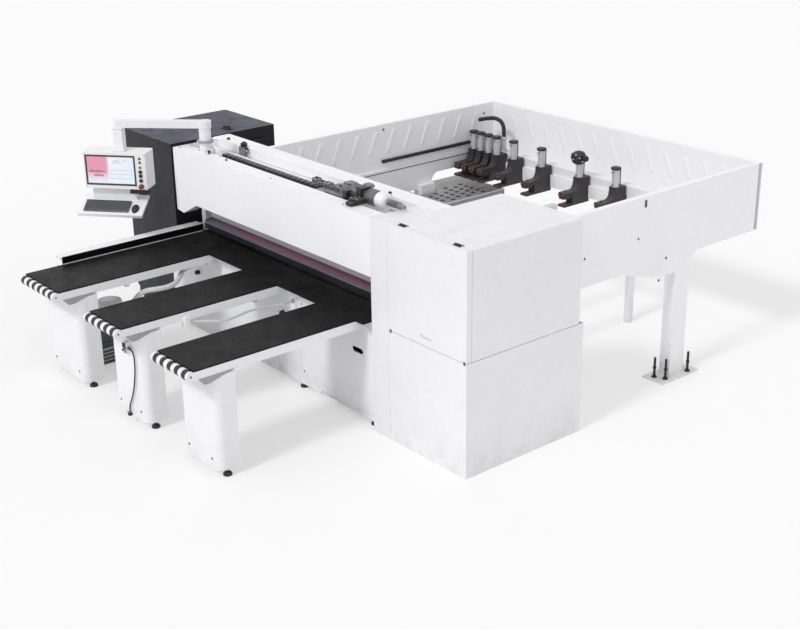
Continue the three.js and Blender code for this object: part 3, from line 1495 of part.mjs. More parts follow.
function tubeAlong(points, radius, sides, steps) {
  const circle = [];
  for (let i = 0; i < sides; i += 1) {
    const angle = (2 * Math.PI * i) / sides;
    circle.push(new THREE.Vector2(radius * Math.cos(angle), radius * Math.sin(angle)));
  }
  const route = new THREE.CatmullRomCurve3(points.map((point) => new THREE.Vector3(...point)), false, 'centripetal');
  const made = new THREE.ExtrudeGeometry(new THREE.Shape(circle), { steps, bevelEnabled: false, extrudePath: route });
  return solidOf(made);
}

// A route in shares of the box between its start and its far corner, with a straight piece at both ends.
function routeThrough(start, firstStraight, shares, corner, lastStraight, end) {
  const middle = shares.map((share) => start.map((value, axis) => value + share[axis] * (corner[axis] - value)));
  return [start, firstStraight, ...middle, lastStraight, end];
}

// The air hose leaves the blower, rises under the tables, swings out to the right and bends back to the base.
function airHoseRoute() {
  const start = [blowerRight + spigotReach + seat, blowerMiddle[1], spigotHeight];
  const end = [airSocketX, baseFront - socketReach - seat, hoseSocketHigh];
  const corner = [start[0] + airHoseSwing, end[1], end[2] + airHoseRise];
  const shares = [[0.2, 0.01, 0.08], [0.36, 0.03, 0.38], [0.54, 0.06, 0.7], [0.74, 0.1, 0.9], [0.93, 0.17, 0.98],
    [1, 0.27, 1], [0.93, 0.38, 1], [0.76, 0.47, 0.99], [0.56, 0.56, 0.99], [0.36, 0.66, 0.985], [0.23, 0.78, 0.983]];
  return routeThrough(start, [start[0] + airHoseStraight, start[1], start[2]], shares, corner,
    [end[0], end[1] - airHoseStraight * 2, end[2]], end);
}

function thinHoseRoute() {
  const start = [tables[1].right + hoseBracketReach / 2, hoseBracketY + seat, railBottom - railWidth / 2];
  const end = [thinSocketX, baseFront - socketReach - seat, hoseSocketHigh];
  const corner = [start[0] + thinHoseSwing, end[1], end[2]];
  const shares = [[0.12, 0.09, 0.06], [0.52, 0.16, 0.2], [0.9, 0.23, 0.36], [1, 0.31, 0.5], [0.84, 0.39, 0.62],
    [0.5, 0.48, 0.75], [0.24, 0.58, 0.86], [0.2, 0.68, 0.94], [0.36, 0.78, 0.99], [0.6, 0.88, 1]];
  return routeThrough(start, [start[0], start[1] + thinHoseStraight, start[2]], shares, corner,
    [end[0], end[1] - thinHoseStraight, end[2]], end);
}

// The cable leaves the junction box sideways and falls along the leg to a gland at its foot.
function legCableRoute() {
  const y = legFront - cableStandOff;
  const start = [junctionBoxMiddle + junctionBoxWidth / 2 + seat, y, junctionBoxLow + junctionBoxHeight / 2];
  const end = [cableGlandX, y, legBottom + cableGlandHeight + seat];
  const corner = [start[0] + cableSwing, y, end[2]];
  const shares = [[0.66, 0, 0.015], [0.93, 0, 0.07], [1, 0, 0.16], [0.9, 0, 0.3], [0.62, 0, 0.47], [0.2, 0, 0.64],
    [-0.3, 0, 0.78], [-0.72, 0, 0.88]];
  return routeThrough(start, [start[0] + cableStraight, y, start[2]], shares, corner,
    [end[0], y, end[2] + cableStraight], end);
}

// Assembly

place('lower_casing', lowerCasing(), white);
place('upper_casing', upperCasing(), white);
place('cabinet_door', cabinetDoor(), white);
place('right_column', rightColumn(), white);
place('girder', girder(), white);
place('front_cover', frontCover(), white);
place('rear_cover', rearCover(), white);
place('base_frame', baseFrame(), white);
place('base_panel', basePanel(), white);
place('saw_table_front', sawTable([-slotRimDepth, sawLineDepth - sawSlot / 2]), black);
place('saw_table_rear', sawTable([sawLineDepth + sawSlot / 2, beamDepth]), black);
for (const table of tables) {
  place(`table_top_${table.name}`, tableTop(table), black);
  place(`table_support_${table.name}`, tableSupport(table), white);
  place(`nose_rollers_${table.name}`, noseRollers(table), deepBlack);
}
place('fence_rail', fenceRail(), white);
place('fence_face', fenceFace(), deepBlack);
place('pressure_beam', pressureBeam(), blueGrey);
place('saw_carriage', sawCarriage(), steel);
place('saw_lift', sawLift(), castGrey);
place('main_blade', bladeWithArbor([mainBladeX, mainBladeZ], mainBladeRadius, mainBladeTeeth, flangeRadius), steel);
place('score_blade', bladeWithArbor([scoreBladeX, scoreBladeZ], scoreBladeRadius, scoreBladeTeeth, flangeSmallRadius), steel);
place('aligner_carriage', alignerCarriage(), steel);
place('aligner_arm', alignerArm(), pale);
place('aligner_chain', alignerChain(), deepBlack);
place('rear_wall_left', sideWall(rearLeft, wallInnerLeft, beamDepth + seat), white);
place('rear_wall_right', sideWall(rearRight, wallInnerRight, cabinetDepth + seat), white);
place('rear_wall_back', backWall(), white);
place('wall_chain', wallChain(), deepBlack);
place('float_table', floatTable(), pale);
place('support_rails', supportRails(), white);
place('pusher_beam', pusherBeam(), white);
place('gripper_bank', gripperBank(), castGrey);
gripperPlaces.forEach((x, index) => place(`gripper_jaw_${index + 1}`, gripperJaw(x), jawRed));
place('console_post', consolePost(), white);
place('console_arm', consoleArm(), white, armGroup);
place('console_case', consoleCase(), white, caseGroup);
place('keyboard', keyboard(), keyGrey, caseGroup);
buttonHeightShares.forEach((share, index) => place(`push_button_${index + 1}`, pushButton(share), deepBlack, caseGroup));
place('emergency_stop', emergencyStop(), red, caseGroup);
place('electric_cabinet', electricShell(), charcoal);
place('electric_door', electricDoor(), charcoal);
place('blower', blower(), charcoal);
place('blower_hose', tubeAlong(airHoseRoute(), airHoseRadius, hoseSides, airHoseSteps), hoseGreen);
place('table_hose', tubeAlong(thinHoseRoute(), thinHoseRadius, cableSides, thinHoseSteps), hoseGreen);
place('leg_cable', tubeAlong(legCableRoute(), cableRadius, cableSides, cableSteps), deepBlack);

export default machine;
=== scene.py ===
import json
import math

import bpy
from mathutils import Matrix, Vector


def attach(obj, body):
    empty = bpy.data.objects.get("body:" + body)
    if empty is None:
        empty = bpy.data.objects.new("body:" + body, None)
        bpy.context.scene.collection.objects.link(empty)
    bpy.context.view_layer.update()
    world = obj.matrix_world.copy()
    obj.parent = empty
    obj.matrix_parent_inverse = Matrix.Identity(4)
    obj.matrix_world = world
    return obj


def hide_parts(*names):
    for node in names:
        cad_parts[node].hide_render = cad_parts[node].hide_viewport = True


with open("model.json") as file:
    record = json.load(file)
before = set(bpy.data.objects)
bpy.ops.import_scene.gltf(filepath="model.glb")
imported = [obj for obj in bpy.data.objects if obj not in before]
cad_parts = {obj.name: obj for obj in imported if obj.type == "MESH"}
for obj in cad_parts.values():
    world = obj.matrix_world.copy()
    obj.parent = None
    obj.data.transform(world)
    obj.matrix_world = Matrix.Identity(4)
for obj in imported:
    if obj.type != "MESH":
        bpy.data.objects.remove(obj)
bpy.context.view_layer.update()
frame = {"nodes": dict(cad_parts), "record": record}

# Places

# The machine is laid out in millimetres from the foot of the right cabinet's front right corner, with x along
# the beam to the right, y to the rear and z up. This shift brings the layout into the frame.
LAYOUT_SHIFT = Vector((2599.15, -1026.0, 0.0))

CONSOLE_HEAD = Vector((-4216.03, -410.03, 0.0))
CASE_TURN_DEGREES = 40.0
CASE_FRONT = -112
PANEL_COLUMN = 216
TRAY_TILT_DEGREES = 29.0
TRAY_TOP = 1383.0
POST_X, POST_Y = -3656, 150
ARM_TOP = 2079.0
TABLE_TOP = 948
BEAM_TOP = 1800

UP, RIGHT, LEFT, FRONT, REAR = (0, 0, 1), (1, 0, 0), (-1, 0, 0), (0, -1, 0), (0, 1, 0)


def spot(x, y, z):
    """A point of the machine's layout, in millimetres, as metres in the frame."""
    return (Vector((x, y, z)) + LAYOUT_SHIFT) * 0.001


# Camera

VIEW_TILT, VIEW_HEADING, VIEW_ROLL = (math.radians(degrees) for degrees in (21.653, 50.556, -0.831))
VIEW_PLACE = (9.06715, -6.962, 4.82)
SENSOR_WIDTH = 36.0
PHOTO_WIDTH = 800.0
FOCAL_LENGTH_IN_PIXELS = 1323.593


def set_camera():
    level = Vector((math.cos(VIEW_HEADING), math.sin(VIEW_HEADING), 0.0))
    forward = Vector(UP).cross(level) * math.cos(VIEW_TILT) - Vector(UP) * math.sin(VIEW_TILT)
    rise = level.cross(forward)
    across = level * math.cos(VIEW_ROLL) + rise * math.sin(VIEW_ROLL)
    upward = rise * math.cos(VIEW_ROLL) - level * math.sin(VIEW_ROLL)
    data = bpy.data.cameras.new("camera")
    data.sensor_width = SENSOR_WIDTH
    data.sensor_fit = "HORIZONTAL"
    data.lens = FOCAL_LENGTH_IN_PIXELS * SENSOR_WIDTH / PHOTO_WIDTH
    data.clip_end = 100.0
    camera = bpy.data.objects.new("camera", data)
    bpy.context.scene.collection.objects.link(camera)
    turn = Matrix((across, upward, -forward)).transposed().to_4x4()
    camera.matrix_world = Matrix.Translation(VIEW_PLACE) @ turn
    bpy.context.scene.camera = camera


set_camera()


# Shader tools

def fill(tree, made, sources):
    """Fills a node's inputs with values or with other nodes' outputs."""
    for socket, source in sources.items():
        if isinstance(source, bpy.types.NodeSocket):
            tree.links.new(source, made.inputs[socket])
        else:
            made.inputs[socket].default_value = source
    return made


def add(tree, kind, sources=None, **settings):
    """One more shader node with its settings and filled inputs."""
    made = tree.nodes.new("ShaderNode" + kind)
    for key, value in settings.items():
        setattr(made, key, value)
    return fill(tree, made, sources or {})


def maths(tree, operation, *values, clamp=False):
    return add(tree, "Math", dict(enumerate(values)), operation=operation, use_clamp=clamp).outputs[0]


def mapped(tree, value, low, high, to_low=0.0, to_high=1.0, **settings):
    """A value brought from one range into another."""
    ranges = {"Value": value, "From Min": low, "From Max": high, "To Min": to_low, "To Max": to_high}
    return add(tree, "MapRange", ranges, **settings).outputs[0]


def blended(tree, share, first, second):
    """A colour that passes from the first to the second with the share."""
    return add(tree, "Mix", {"Factor": share, "A": first, "B": second}, data_type="RGBA").outputs["Result"]


def noise(tree, place, scale, detail, roughness):
    sources = {"Vector": place, "Scale": scale, "Detail": detail, "Roughness": roughness}
    return add(tree, "TexNoise", sources).outputs["Fac"]


def axis(tree, vector, letter):
    return add(tree, "SeparateXYZ", {"Vector": vector}).outputs[letter]


def projected(tree, first, second):
    return add(tree, "VectorMath", {0: first, 1: second}, operation="DOT_PRODUCT").outputs["Value"]


def new_group(name, inputs, outputs):
    """A shader node group with named inputs, whose kinds follow from their values, and named outputs."""
    group = bpy.data.node_groups.new(name, "ShaderNodeTree")
    for label, value in inputs.items():
        kind = "NodeSocketFloat"
        if isinstance(value, tuple):
            kind = "NodeSocketVector" if len(value) == 3 else "NodeSocketColor"
        socket = group.interface.new_socket(name=label, in_out="INPUT", socket_type=kind)
        socket.default_value = value
    for label, kind in outputs.items():
        group.interface.new_socket(name=label, in_out="OUTPUT", socket_type="NodeSocket" + kind)
    return group, group.nodes.new("NodeGroupInput").outputs, group.nodes.new("NodeGroupOutput")


def rgb(colour):
    """A screen colour of 0 to 255 as the linear colour that a shader takes."""
    shares = (value / 255.0 for value in colour)
    return *(share / 12.92 if share <= 0.04045 else ((share + 0.055) / 1.055) ** 2.4 for share in shares), 1.0


def cloudy_colour():
    """Slow cloudy change between a colour and its handled shade, and the roughness that goes with it."""
    group, given, out = new_group(
        "cloudy_colour",
        {"Position": (0.0, 0.0, 0.0), "Colour": (0.8, 0.8, 0.8, 1.0), "Shade": (0.7, 0.7, 0.7, 1.0),
         "Scale": 3.0, "Amount": 0.5, "Roughness": 0.5, "Swing": 0.1},
        {"Colour": "Color", "Roughness": "Float"})
    broad = noise(group, given["Position"], given["Scale"], 3.0, 0.55)
    small = noise(group, given["Position"], maths(group, "MULTIPLY", given["Scale"], 9.0), 4.0, 0.6)
    both = maths(group, "ADD", broad, small)
    fade = maths(group, "MULTIPLY", mapped(group, both, 0.75, 1.25), given["Amount"])
    either_way = mapped(group, both, 0.75, 1.25, -1.0, 1.0)
    swung = maths(group, "MULTIPLY_ADD", either_way, given["Swing"], given["Roughness"])
    fill(group, out, {"Colour": blended(group, fade, given["Colour"], given["Shade"]), "Roughness": swung})
    return group


def rubbed_edge():
    """Mask of the thin line along hard edges where paint is rubbed, broken up by noise."""
    group, given, out = new_group(
        "rubbed_edge",
        {"Position": (0.0, 0.0, 0.0), "Bevel normal": (0.0, 0.0, 1.0), "Breaks": 14.0, "Strength": 0.6},
        {"Mask": "Float"})
    flat = add(group, "NewGeometry").outputs["True Normal"]
    facing = projected(group, flat, given["Bevel normal"])
    broken = mapped(group, noise(group, given["Position"], given["Breaks"], 5.0, 0.7), 0.42, 0.68)
    worn = maths(group, "MULTIPLY", mapped(group, facing, 0.99, 0.8), broken)
    fill(group, out, {"Mask": maths(group, "MULTIPLY", worn, given["Strength"], clamp=True)})
    return group


def low_dust_and_top_sheen():
    """Mask of workshop dust, strongest near the floor and lying lightly on level surfaces; given a bluish
    colour, as on the charcoal coat, the part on level surfaces is a painted sheen.
    """
    group, given, out = new_group(
        "low_dust_and_top_sheen", {"Position": (0.0, 0.0, 0.0), "Top": 0.35, "Strength": 0.5, "Level": 0.2},
        {"Mask": "Float"})
    low = mapped(group, axis(group, given["Position"], "Z"), given["Top"], 0.0)
    patchy = mapped(group, noise(group, given["Position"], 7.0, 6.0, 0.65), 0.35, 0.75)
    splash = maths(group, "MULTIPLY", maths(group, "MULTIPLY", low, patchy), given["Strength"])
    upward = mapped(group, axis(group, add(group, "NewGeometry").outputs["Normal"], "Z"), 0.8, 1.0)
    lying = maths(group, "MULTIPLY", upward, patchy)
    fill(group, out, {"Mask": maths(group, "MULTIPLY_ADD", lying, given["Level"], splash, clamp=True)})
    return group


def drawn_lines():
    """Fine parallel lines of rolled, ground or brushed metal: a mask and a height."""
    group, given, out = new_group(
        "drawn_lines", {"Position": (0.0, 0.0, 0.0), "Stretch": (1.0, 60.0, 60.0), "Scale": 6.0},
        {"Mask": "Float", "Height": "Float"})
    stretched = add(group, "VectorMath", {0: given["Position"], 1: given["Stretch"]}, operation="MULTIPLY")
    lines = noise(group, stretched.outputs[0], given["Scale"], 5.0, 0.7)
    fill(group, out, {"Mask": mapped(group, lines, 0.3, 0.7), "Height": lines})
    return group


def skin_height():
    """Height of a coated or moulded skin: broad orange peel with a fine grain on it."""
    group, given, out = new_group(
        "skin_height", {"Position": (0.0, 0.0, 0.0), "Peel": 260.0, "Grain": 1400.0, "Grain share": 0.3},
        {"Height": "Float"})
    peel = noise(group, given["Position"], given["Peel"], 1.0, 0.4)
    grain = noise(group, given["Position"], given["Grain"], 2.0, 0.6)
    mixed = add(group, "Mix", {"Factor": given["Grain share"], "A": peel, "B": grain})
    fill(group, out, {"Height": mixed.outputs["Result"]})
    return group


CLOUDS, EDGES, DUST_AND_SHEEN_GROUP, LINES, SKIN = cloudy_colour(), rubbed_edge(), low_dust_and_top_sheen(), drawn_lines(), skin_height()
DUST_COLOUR = (176, 170, 160)


def grouped(tree, group, sources):
    return add(tree, "Group", sources, node_tree=group).outputs


def start_material(name, colour, shade, roughness, scale, amount, swing):
    """A new material with its shader, the place on the machine, and a cloudy colour and roughness."""
    material = bpy.data.materials.new(name)
    material.use_nodes = True
    tree = material.node_tree
    position = add(tree, "TexCoord").outputs["Object"]
    base = grouped(tree, CLOUDS, {"Position": position, "Colour": rgb(colour), "Shade": rgb(shade),
                                  "Scale": scale, "Amount": amount, "Roughness": roughness, "Swing": swing})
    return material, tree, tree.nodes["Principled BSDF"], position, base


def bump(tree, height, strength, distance):
    return add(tree, "Bump", {"Strength": strength, "Distance": distance, "Height": height}).outputs["Normal"]


def skin(tree, position, peel, grain, share):
    sources = {"Position": position, "Peel": peel, "Grain": grain, "Grain share": share}
    return grouped(tree, SKIN, sources)["Height"]


def coated(name, colour, shade, roughness, clouds=2.2, peel=0.25, edge=None, dust=0.35, level=0.12,
           metallic=0.0, dust_and_sheen_colour=DUST_COLOUR, upper=None, shine=0.5):
    """Painted or powder-coated sheet: cloudy colour, orange peel, rubbed edges, and dust near the floor and
    on level faces, whose colour can also paint a lighter sheen onto the tops.

    upper is a height in metres and the colour above it.
    """
    material, tree, shader, position, base = start_material(name, colour, shade, roughness, clouds, 0.6, 0.08)
    # Dust near the floor and on level faces; on the charcoal coat the level part is a painted sheen.
    dust_and_sheen_mask = grouped(tree, DUST_AND_SHEEN_GROUP, {"Position": position, "Strength": dust, "Level": level})["Mask"]
    surface = blended(tree, dust_and_sheen_mask, base["Colour"], rgb(dust_and_sheen_colour))
    if upper:
        high = mapped(tree, axis(tree, position, "Z"), upper[0], upper[0] + 0.002)
        surface = blended(tree, high, surface, rgb(upper[1]))
    if edge:
        softened = add(tree, "Bevel", {"Radius": 0.003}, samples=4).outputs[0]
        worn = grouped(tree, EDGES, {"Position": position, "Bevel normal": softened, "Strength": 0.5})["Mask"]
        surface = blended(tree, worn, surface, rgb(edge))
    height = grouped(tree, SKIN, {"Position": position})["Height"]
    rough = maths(tree, "MULTIPLY_ADD", dust_and_sheen_mask, 0.3, base["Roughness"], clamp=True)
    fill(tree, shader, {
        "Base Color": surface, "Roughness": rough,
        "Metallic": metallic, "Specular IOR Level": shine, "Normal": bump(tree, height, peel, 0.0004)})
    return material


def metal(name, colour, shade, roughness, stretch, scale=6.0, lines=0.35, metallic=1.0):
    """Bare or anodised metal with drawn lines along one direction."""
    swing = 0.12
    material, tree, shader, position, base = start_material(name, colour, shade, roughness, 5.0, 0.6, swing)
    streak = grouped(tree, LINES, {"Position": position, "Stretch": stretch, "Scale": scale})
    lined = blended(tree, streak["Mask"], base["Colour"], rgb(shade))
    fill(tree, shader, {
        "Base Color": blended(tree, 0.35, base["Colour"], lined),
        "Roughness": maths(tree, "MULTIPLY_ADD", streak["Mask"], swing, base["Roughness"], clamp=True),
        "Metallic": metallic, "Normal": bump(tree, streak["Height"], lines, 0.0003)})
    return material


def moulded(name, colour, shade, roughness, grain=0.35, clouds=12.0):
    """Moulded plastic or rubber with a fine grain."""
    material, tree, shader, position, base = start_material(name, colour, shade, roughness, clouds, 0.7, 0.08)
    height = skin(tree, position, 500.0, 2600.0, 0.7)
    fill(tree, shader, {"Base Color": base["Colour"], "Roughness": base["Roughness"],
                        "Normal": bump(tree, height, grain, 0.0003)})
    return material


def glowing(name, colour, shade, strength, left_colour=None):
    """A lit screen: a fine grain, uneven backlight and, if given, another colour at its left."""
    material, tree, shader, position, base = start_material(name, colour, shade, 0.2, 4.0, 0.8, 0.04)
    surface = base["Colour"]
    if left_colour:
        turn = math.radians(CASE_TURN_DEGREES)
        head = (CONSOLE_HEAD + LAYOUT_SHIFT) * 0.001
        from_head = add(tree, "VectorMath", {0: position, 1: head}, operation="SUBTRACT").outputs[0]
        level = (math.cos(turn), math.sin(turn), 0.0)
        across = projected(tree, from_head, level)
        left = mapped(tree, across, -0.078, -0.11, interpolation_type="SMOOTHSTEP")
        high = mapped(tree, axis(tree, position, "Z"), 1.52, 1.66, interpolation_type="SMOOTHSTEP")
        mask = maths(tree, "MULTIPLY", left, mapped(tree, high, 0.0, 1.0, 0.06, 0.94))
        surface = blended(tree, mask, surface, rgb(left_colour))
    height = skin(tree, position, 900.0, 3200.0, 0.8)
    fill(tree, shader, {
        "Base Color": blended(tree, 0.85, surface, rgb((6, 6, 8))), "Emission Color": surface,
        "Emission Strength": strength, "Roughness": base["Roughness"],
        "Normal": bump(tree, height, 0.05, 0.0002)})
    return material


def faded(material, start, end, colour):
    """Lets a material's colour pass from another one into its own, between two places along the beam."""
    tree = material.node_tree
    shader = tree.nodes["Principled BSDF"]
    own = shader.inputs["Base Color"].links[0].from_socket
    along = axis(tree, add(tree, "TexCoord").outputs["Object"], "X")
    fill(tree, shader, {"Base Color": blended(tree, mapped(tree, along, start, end), rgb(colour), own)})
    return material


# Finishes

ALONG_BEAM = (1.0, 40.0, 40.0)

WHITE = coated("white_powder_coat", (241, 241, 243), (233, 233, 236), 0.42, edge=(205, 206, 208))
# A lighter copy of the white paint, which is painted light: it lifts the walls, covers and base, whose faces
# lie in shade, towards the brightness of the lit white.
LIGHTENED_WHITE = coated("white_paint_lightened_for_shade", (250, 250, 252), (243, 243, 246), 0.45, edge=(205, 206, 208),
                     dust=0.5)
CASE_WHITE = coated("console_white_coat", (244, 244, 246), (236, 236, 239), 0.38, 6.0, edge=(200, 201, 204),
                    dust=0.0)
# The bluish colour on its level faces is a painted sheen: the roof is drawn lighter and bluer than the front
# because of how light falls on it.
CHARCOAL = coated("charcoal_powder_coat", (33, 33, 37), (27, 27, 31), 0.5, peel=0.35, edge=(84, 84, 90),
                  dust=0.1, level=0.55, dust_and_sheen_colour=(134, 132, 162), shine=0.25)
TABLE_BLACK = coated("black_table_laminate", (23, 23, 25), (17, 17, 19), 0.6, 4.0, 0.5, (80, 80, 82), 0.0,
                     0.03, shine=0.1)
FENCE_BLACK = coated("black_fence_laminate", (9, 9, 10), (13, 13, 14), 0.5, 6.0, 0.3, None, 0.0, 0.03,
                     shine=0.14)
CAST_GREY = coated("grey_painted_casting", (54, 50, 53), (43, 40, 42), 0.5, 14.0, 0.9, (104, 98, 98), 0.0)
CAST_BLACK = coated("black_painted_casting", (34, 33, 35), (26, 25, 27), 0.46, 16.0, 0.9, (84, 82, 84), 0.0)
JAW_RED = coated("red_jaw_paint", (86, 42, 40), (62, 34, 33), 0.45, 20.0, 0.6, (140, 90, 84), 0.0)
DECK_GREY = coated("grey_deck_sheet", (150, 148, 150), (134, 132, 135), 0.45, 7.0, 0.4, (196, 196, 198),
                   metallic=0.2)
BLOWER_PAINT = coated("two_tone_blower_coat", (66, 70, 70), (54, 58, 58), 0.5, 9.0, 0.7, (110, 112, 112), 0.3,
                      upper=(0.40, (226, 227, 228)))
ROSE_STRIP = coated("rose_anodised_strip", (140, 96, 110), (118, 86, 102), 0.42, 2.0, 0.2, dust=0.0,
                    metallic=0.2)
faded(ROSE_STRIP, -1.1, -0.5, (112, 110, 124))

BEAM_BLUE = metal("anodised_pressure_beam", (122, 122, 146), (98, 98, 124), 0.34, ALONG_BEAM, metallic=0.45)
LIP_BLUE = metal("dark_blue_lip", (30, 30, 43), (22, 22, 33), 0.4, ALONG_BEAM, metallic=0.3)
LINE_BLUE = metal("light_blue_line", (138, 144, 162), (114, 120, 138), 0.32, ALONG_BEAM, metallic=0.5)
WEB_GREY = metal("grey_anodised_web", (214, 210, 214), (190, 186, 192), 0.4, ALONG_BEAM, metallic=0.1)
STEEL = metal("ground_steel", (176, 178, 181), (140, 142, 146), 0.3, (4.0, 60.0, 60.0))
BLADE = metal("ground_blade_steel", (190, 192, 196), (150, 152, 157), 0.26, (30.0, 1.0, 30.0), 9.0)
ALUMINIUM = metal("machined_aluminium", (200, 202, 205), (168, 170, 174), 0.36, (60.0, 3.0, 60.0))
MACHINED_GREY = metal("grey_machined_casting", (160, 160, 164), (118, 118, 122), 0.4, (40.0, 4.0, 40.0),
                      metallic=0.7)
CYLINDER_STEEL = metal("bright_cylinder_steel", (214, 214, 218), (188, 188, 194), 0.34, (30.0, 30.0, 1.0),
                       3.0, 0.06, 0.35)

BLACK_PLASTIC = moulded("black_moulded_plastic", (26, 26, 27), (36, 36, 38), 0.5)
NOZZLE_BLACK = moulded("black_glossy_moulding", (20, 20, 21), (30, 30, 31), 0.3, grain=0.15)
BEZEL_GREY = moulded("dark_bezel_plastic", (66, 69, 73), (54, 57, 61), 0.42)
CHAIN_BAR = moulded("grey_chain_bar", (92, 92, 94), (76, 76, 78), 0.5)
KEY_PLASTIC = moulded("grey_key_plastic", (92, 94, 98), (78, 80, 84), 0.55)
KEY_TOPS = moulded("dark_key_tops", (78, 79, 80), (66, 67, 68), 0.5)
RED_PLASTIC = moulded("red_button_plastic", (152, 46, 44), (126, 34, 34), 0.35, grain=0.1)
PINK_PLASTIC = moulded("pale_red_plug", (206, 138, 142), (188, 120, 126), 0.4, grain=0.1)
# Grey of real brackets, and also of the painted shade wedges under the table rails.
BAR_GREY = moulded("grey_bracket_coat_and_painted_shade", (166, 166, 170), (146, 146, 150), 0.5)
# Dark grey of real small parts, and also of the painted shadow strips at the casing split and the wall ledge.
SHADOW_GREY = moulded("dark_grey_parts_and_painted_shadow", (92, 92, 96), (76, 76, 80), 0.6)
RUBBER = moulded("black_cable_rubber", (32, 32, 33), (44, 44, 45), 0.62, grain=0.5)
HOSE_GREEN = moulded("pale_green_hose", (206, 214, 210), (188, 198, 194), 0.48, grain=0.2, clouds=9.0)
LAMP_LENS = moulded("smoked_lamp_lens", (70, 84, 74), (48, 60, 52), 0.18, grain=0.05, clouds=60.0)

SCREEN_GLASS = glowing("lit_screen", (228, 231, 238), (210, 222, 238), 0.96, (218, 138, 160))
SCREEN_ROSE = glowing("screen_rose_marks", (166, 84, 106), (148, 72, 94), 0.9)
SCREEN_GREY = glowing("screen_grey_marks", (168, 174, 186), (150, 158, 172), 0.9)

# Each slot's own finish, which its nodes get, and after it the finishes of its detail pieces.
SLOTS = {
    "white_paint": (WHITE, LIGHTENED_WHITE), "dark_paint": (CHARCOAL,), "case_aluminium": (CASE_WHITE,),
    "beam_aluminium": (BEAM_BLUE, LIP_BLUE, LINE_BLUE, WEB_GREY), "jaw_red": (JAW_RED,),
    "grey_deck": (DECK_GREY,),
    "machined_aluminium": (ALUMINIUM, MACHINED_GREY, BAR_GREY), "machined_steel": (STEEL, CYLINDER_STEEL),
    "blade_steel": (BLADE,), "cast_grey": (CAST_GREY, CAST_BLACK), "black_table": (TABLE_BLACK,),
    "black_laminate": (FENCE_BLACK,), "black_plastic": (BLACK_PLASTIC, NOZZLE_BLACK, BEZEL_GREY, CHAIN_BAR),
    "key_plastic": (KEY_PLASTIC, KEY_TOPS), "red_plastic": (RED_PLASTIC, PINK_PLASTIC),
    "hose_rubber": (HOSE_GREEN,), "cable_rubber": (RUBBER,),
}
SLOT_OF = {finish.name: slot for slot, finishes in SLOTS.items() for finish in finishes}

NODE_FINISHES = {"blower": BLOWER_PAINT, "aligner_carriage": MACHINED_GREY, "fence_face": FENCE_BLACK}
# The covers, girder, base and walls get the lighter white copy, painted light on their shaded faces.
for name in ("front_cover", "rear_cover", "girder", "base_frame", "base_panel", "rear_wall_left",
             "rear_wall_right", "rear_wall_back"):
    NODE_FINISHES[name] = LIGHTENED_WHITE

for part in frame["record"]["subparts"]:
    node = frame["nodes"][part["node"]]
    node.data.materials.clear()
    node.data.materials.append(NODE_FINISHES.get(part["node"]) or SLOTS[part["material_slot"]][0])


# Modelling tools

def alone(piece):
    bpy.ops.object.select_all(action="DESELECT")
    piece.select_set(True)
    bpy.context.view_layer.objects.active = piece


def opened(piece, kind, chosen="DESELECT"):
    """Opens the piece's mesh for editing by edges or faces."""
    alone(piece)
    bpy.ops.object.mode_set(mode="EDIT")
    bpy.ops.mesh.select_mode(type=kind)
    bpy.ops.mesh.select_all(action=chosen)


def closed(piece):
    bpy.ops.object.mode_set(mode="OBJECT")
    return piece


def opened_towards(piece, direction, nearness, least_share=0.0):
    """Opens the piece's mesh with the large faces selected that look in a direction."""
    opened(piece, "FACE")
    closed(piece)
    facing = [face for face in piece.data.polygons if face.normal.dot(direction) > nearness]
    largest = max(face.area for face in facing)
    for face in facing:
        face.select = face.area > largest * least_share
    bpy.ops.object.mode_set(mode="EDIT")


def drawn_up(height):
    """Draws what is selected out along +Z, in metres."""
    bpy.ops.mesh.extrude_region_move(TRANSFORM_OT_translate={"value": (0, 0, height)})


def widened(ratio, height):
    bpy.ops.transform.resize(value=(ratio, ratio, 1.0), center_override=(0, 0, height))


def settle(piece):
    """Puts the piece's place, turn and size into its mesh."""
    alone(piece)
    bpy.ops.object.transform_apply(location=True, rotation=True, scale=True)
    return piece


def soften(piece, width, segments=2, above=50):
    """Rounds the edges that are sharper than an angle, by a width in millimetres."""
    opened(piece, "EDGE")
    bpy.ops.mesh.edges_select_sharp(sharpness=math.radians(above))
    bpy.ops.mesh.bevel(offset=width * 0.001, segments=segments, affect="EDGES", clamp_overlap=True)
    return closed(piece)


def block(low, high, edge, segments):
    """A block between two corners in metres, with its edges rounded in millimetres."""
    bpy.ops.mesh.primitive_cube_add(size=1.0, location=(low + high) / 2)
    piece = bpy.context.object
    piece.scale = high - low
    settle(piece)
    return soften(piece, edge, segments) if edge else piece


def slab(xs, ys, zs, edge=1.0, segments=2):
    """A rounded block between two corners of the layout, in millimetres."""
    low, high = (spot(*corner) for corner in zip(xs, ys, zs))
    return block(low, high, edge, segments)


def local_slab(xs, ys, zs, edge=1.0, segments=2):
    """A rounded block around the origin, in millimetres, to be set onto a turned part afterwards."""
    low, high = (Vector(corner) * 0.001 for corner in zip(xs, ys, zs))
    return block(low, high, edge, segments)


def turned(steps, sides=24, edge=0.0):
    """A turned part along +Z from the origin, in millimetres, with a (radius, height) for each step."""
    steps = [(radius * 0.001, height * 0.001) for radius, height in steps]
    radius, foot = steps[0]
    bpy.ops.mesh.primitive_circle_add(vertices=sides, radius=radius, fill_type="NGON", location=(0, 0, foot))
    piece = settle(bpy.context.object)
    opened(piece, "FACE", "SELECT")
    for (before, low), (after, high) in zip(steps, steps[1:]):
        drawn_up(high - low)
        if abs(after - before) > 1e-7:
            widened(after / before, high)
    bpy.ops.mesh.select_all(action="SELECT")
    bpy.ops.mesh.normals_make_consistent(inside=False)
    closed(piece)
    return soften(piece, edge) if edge else piece


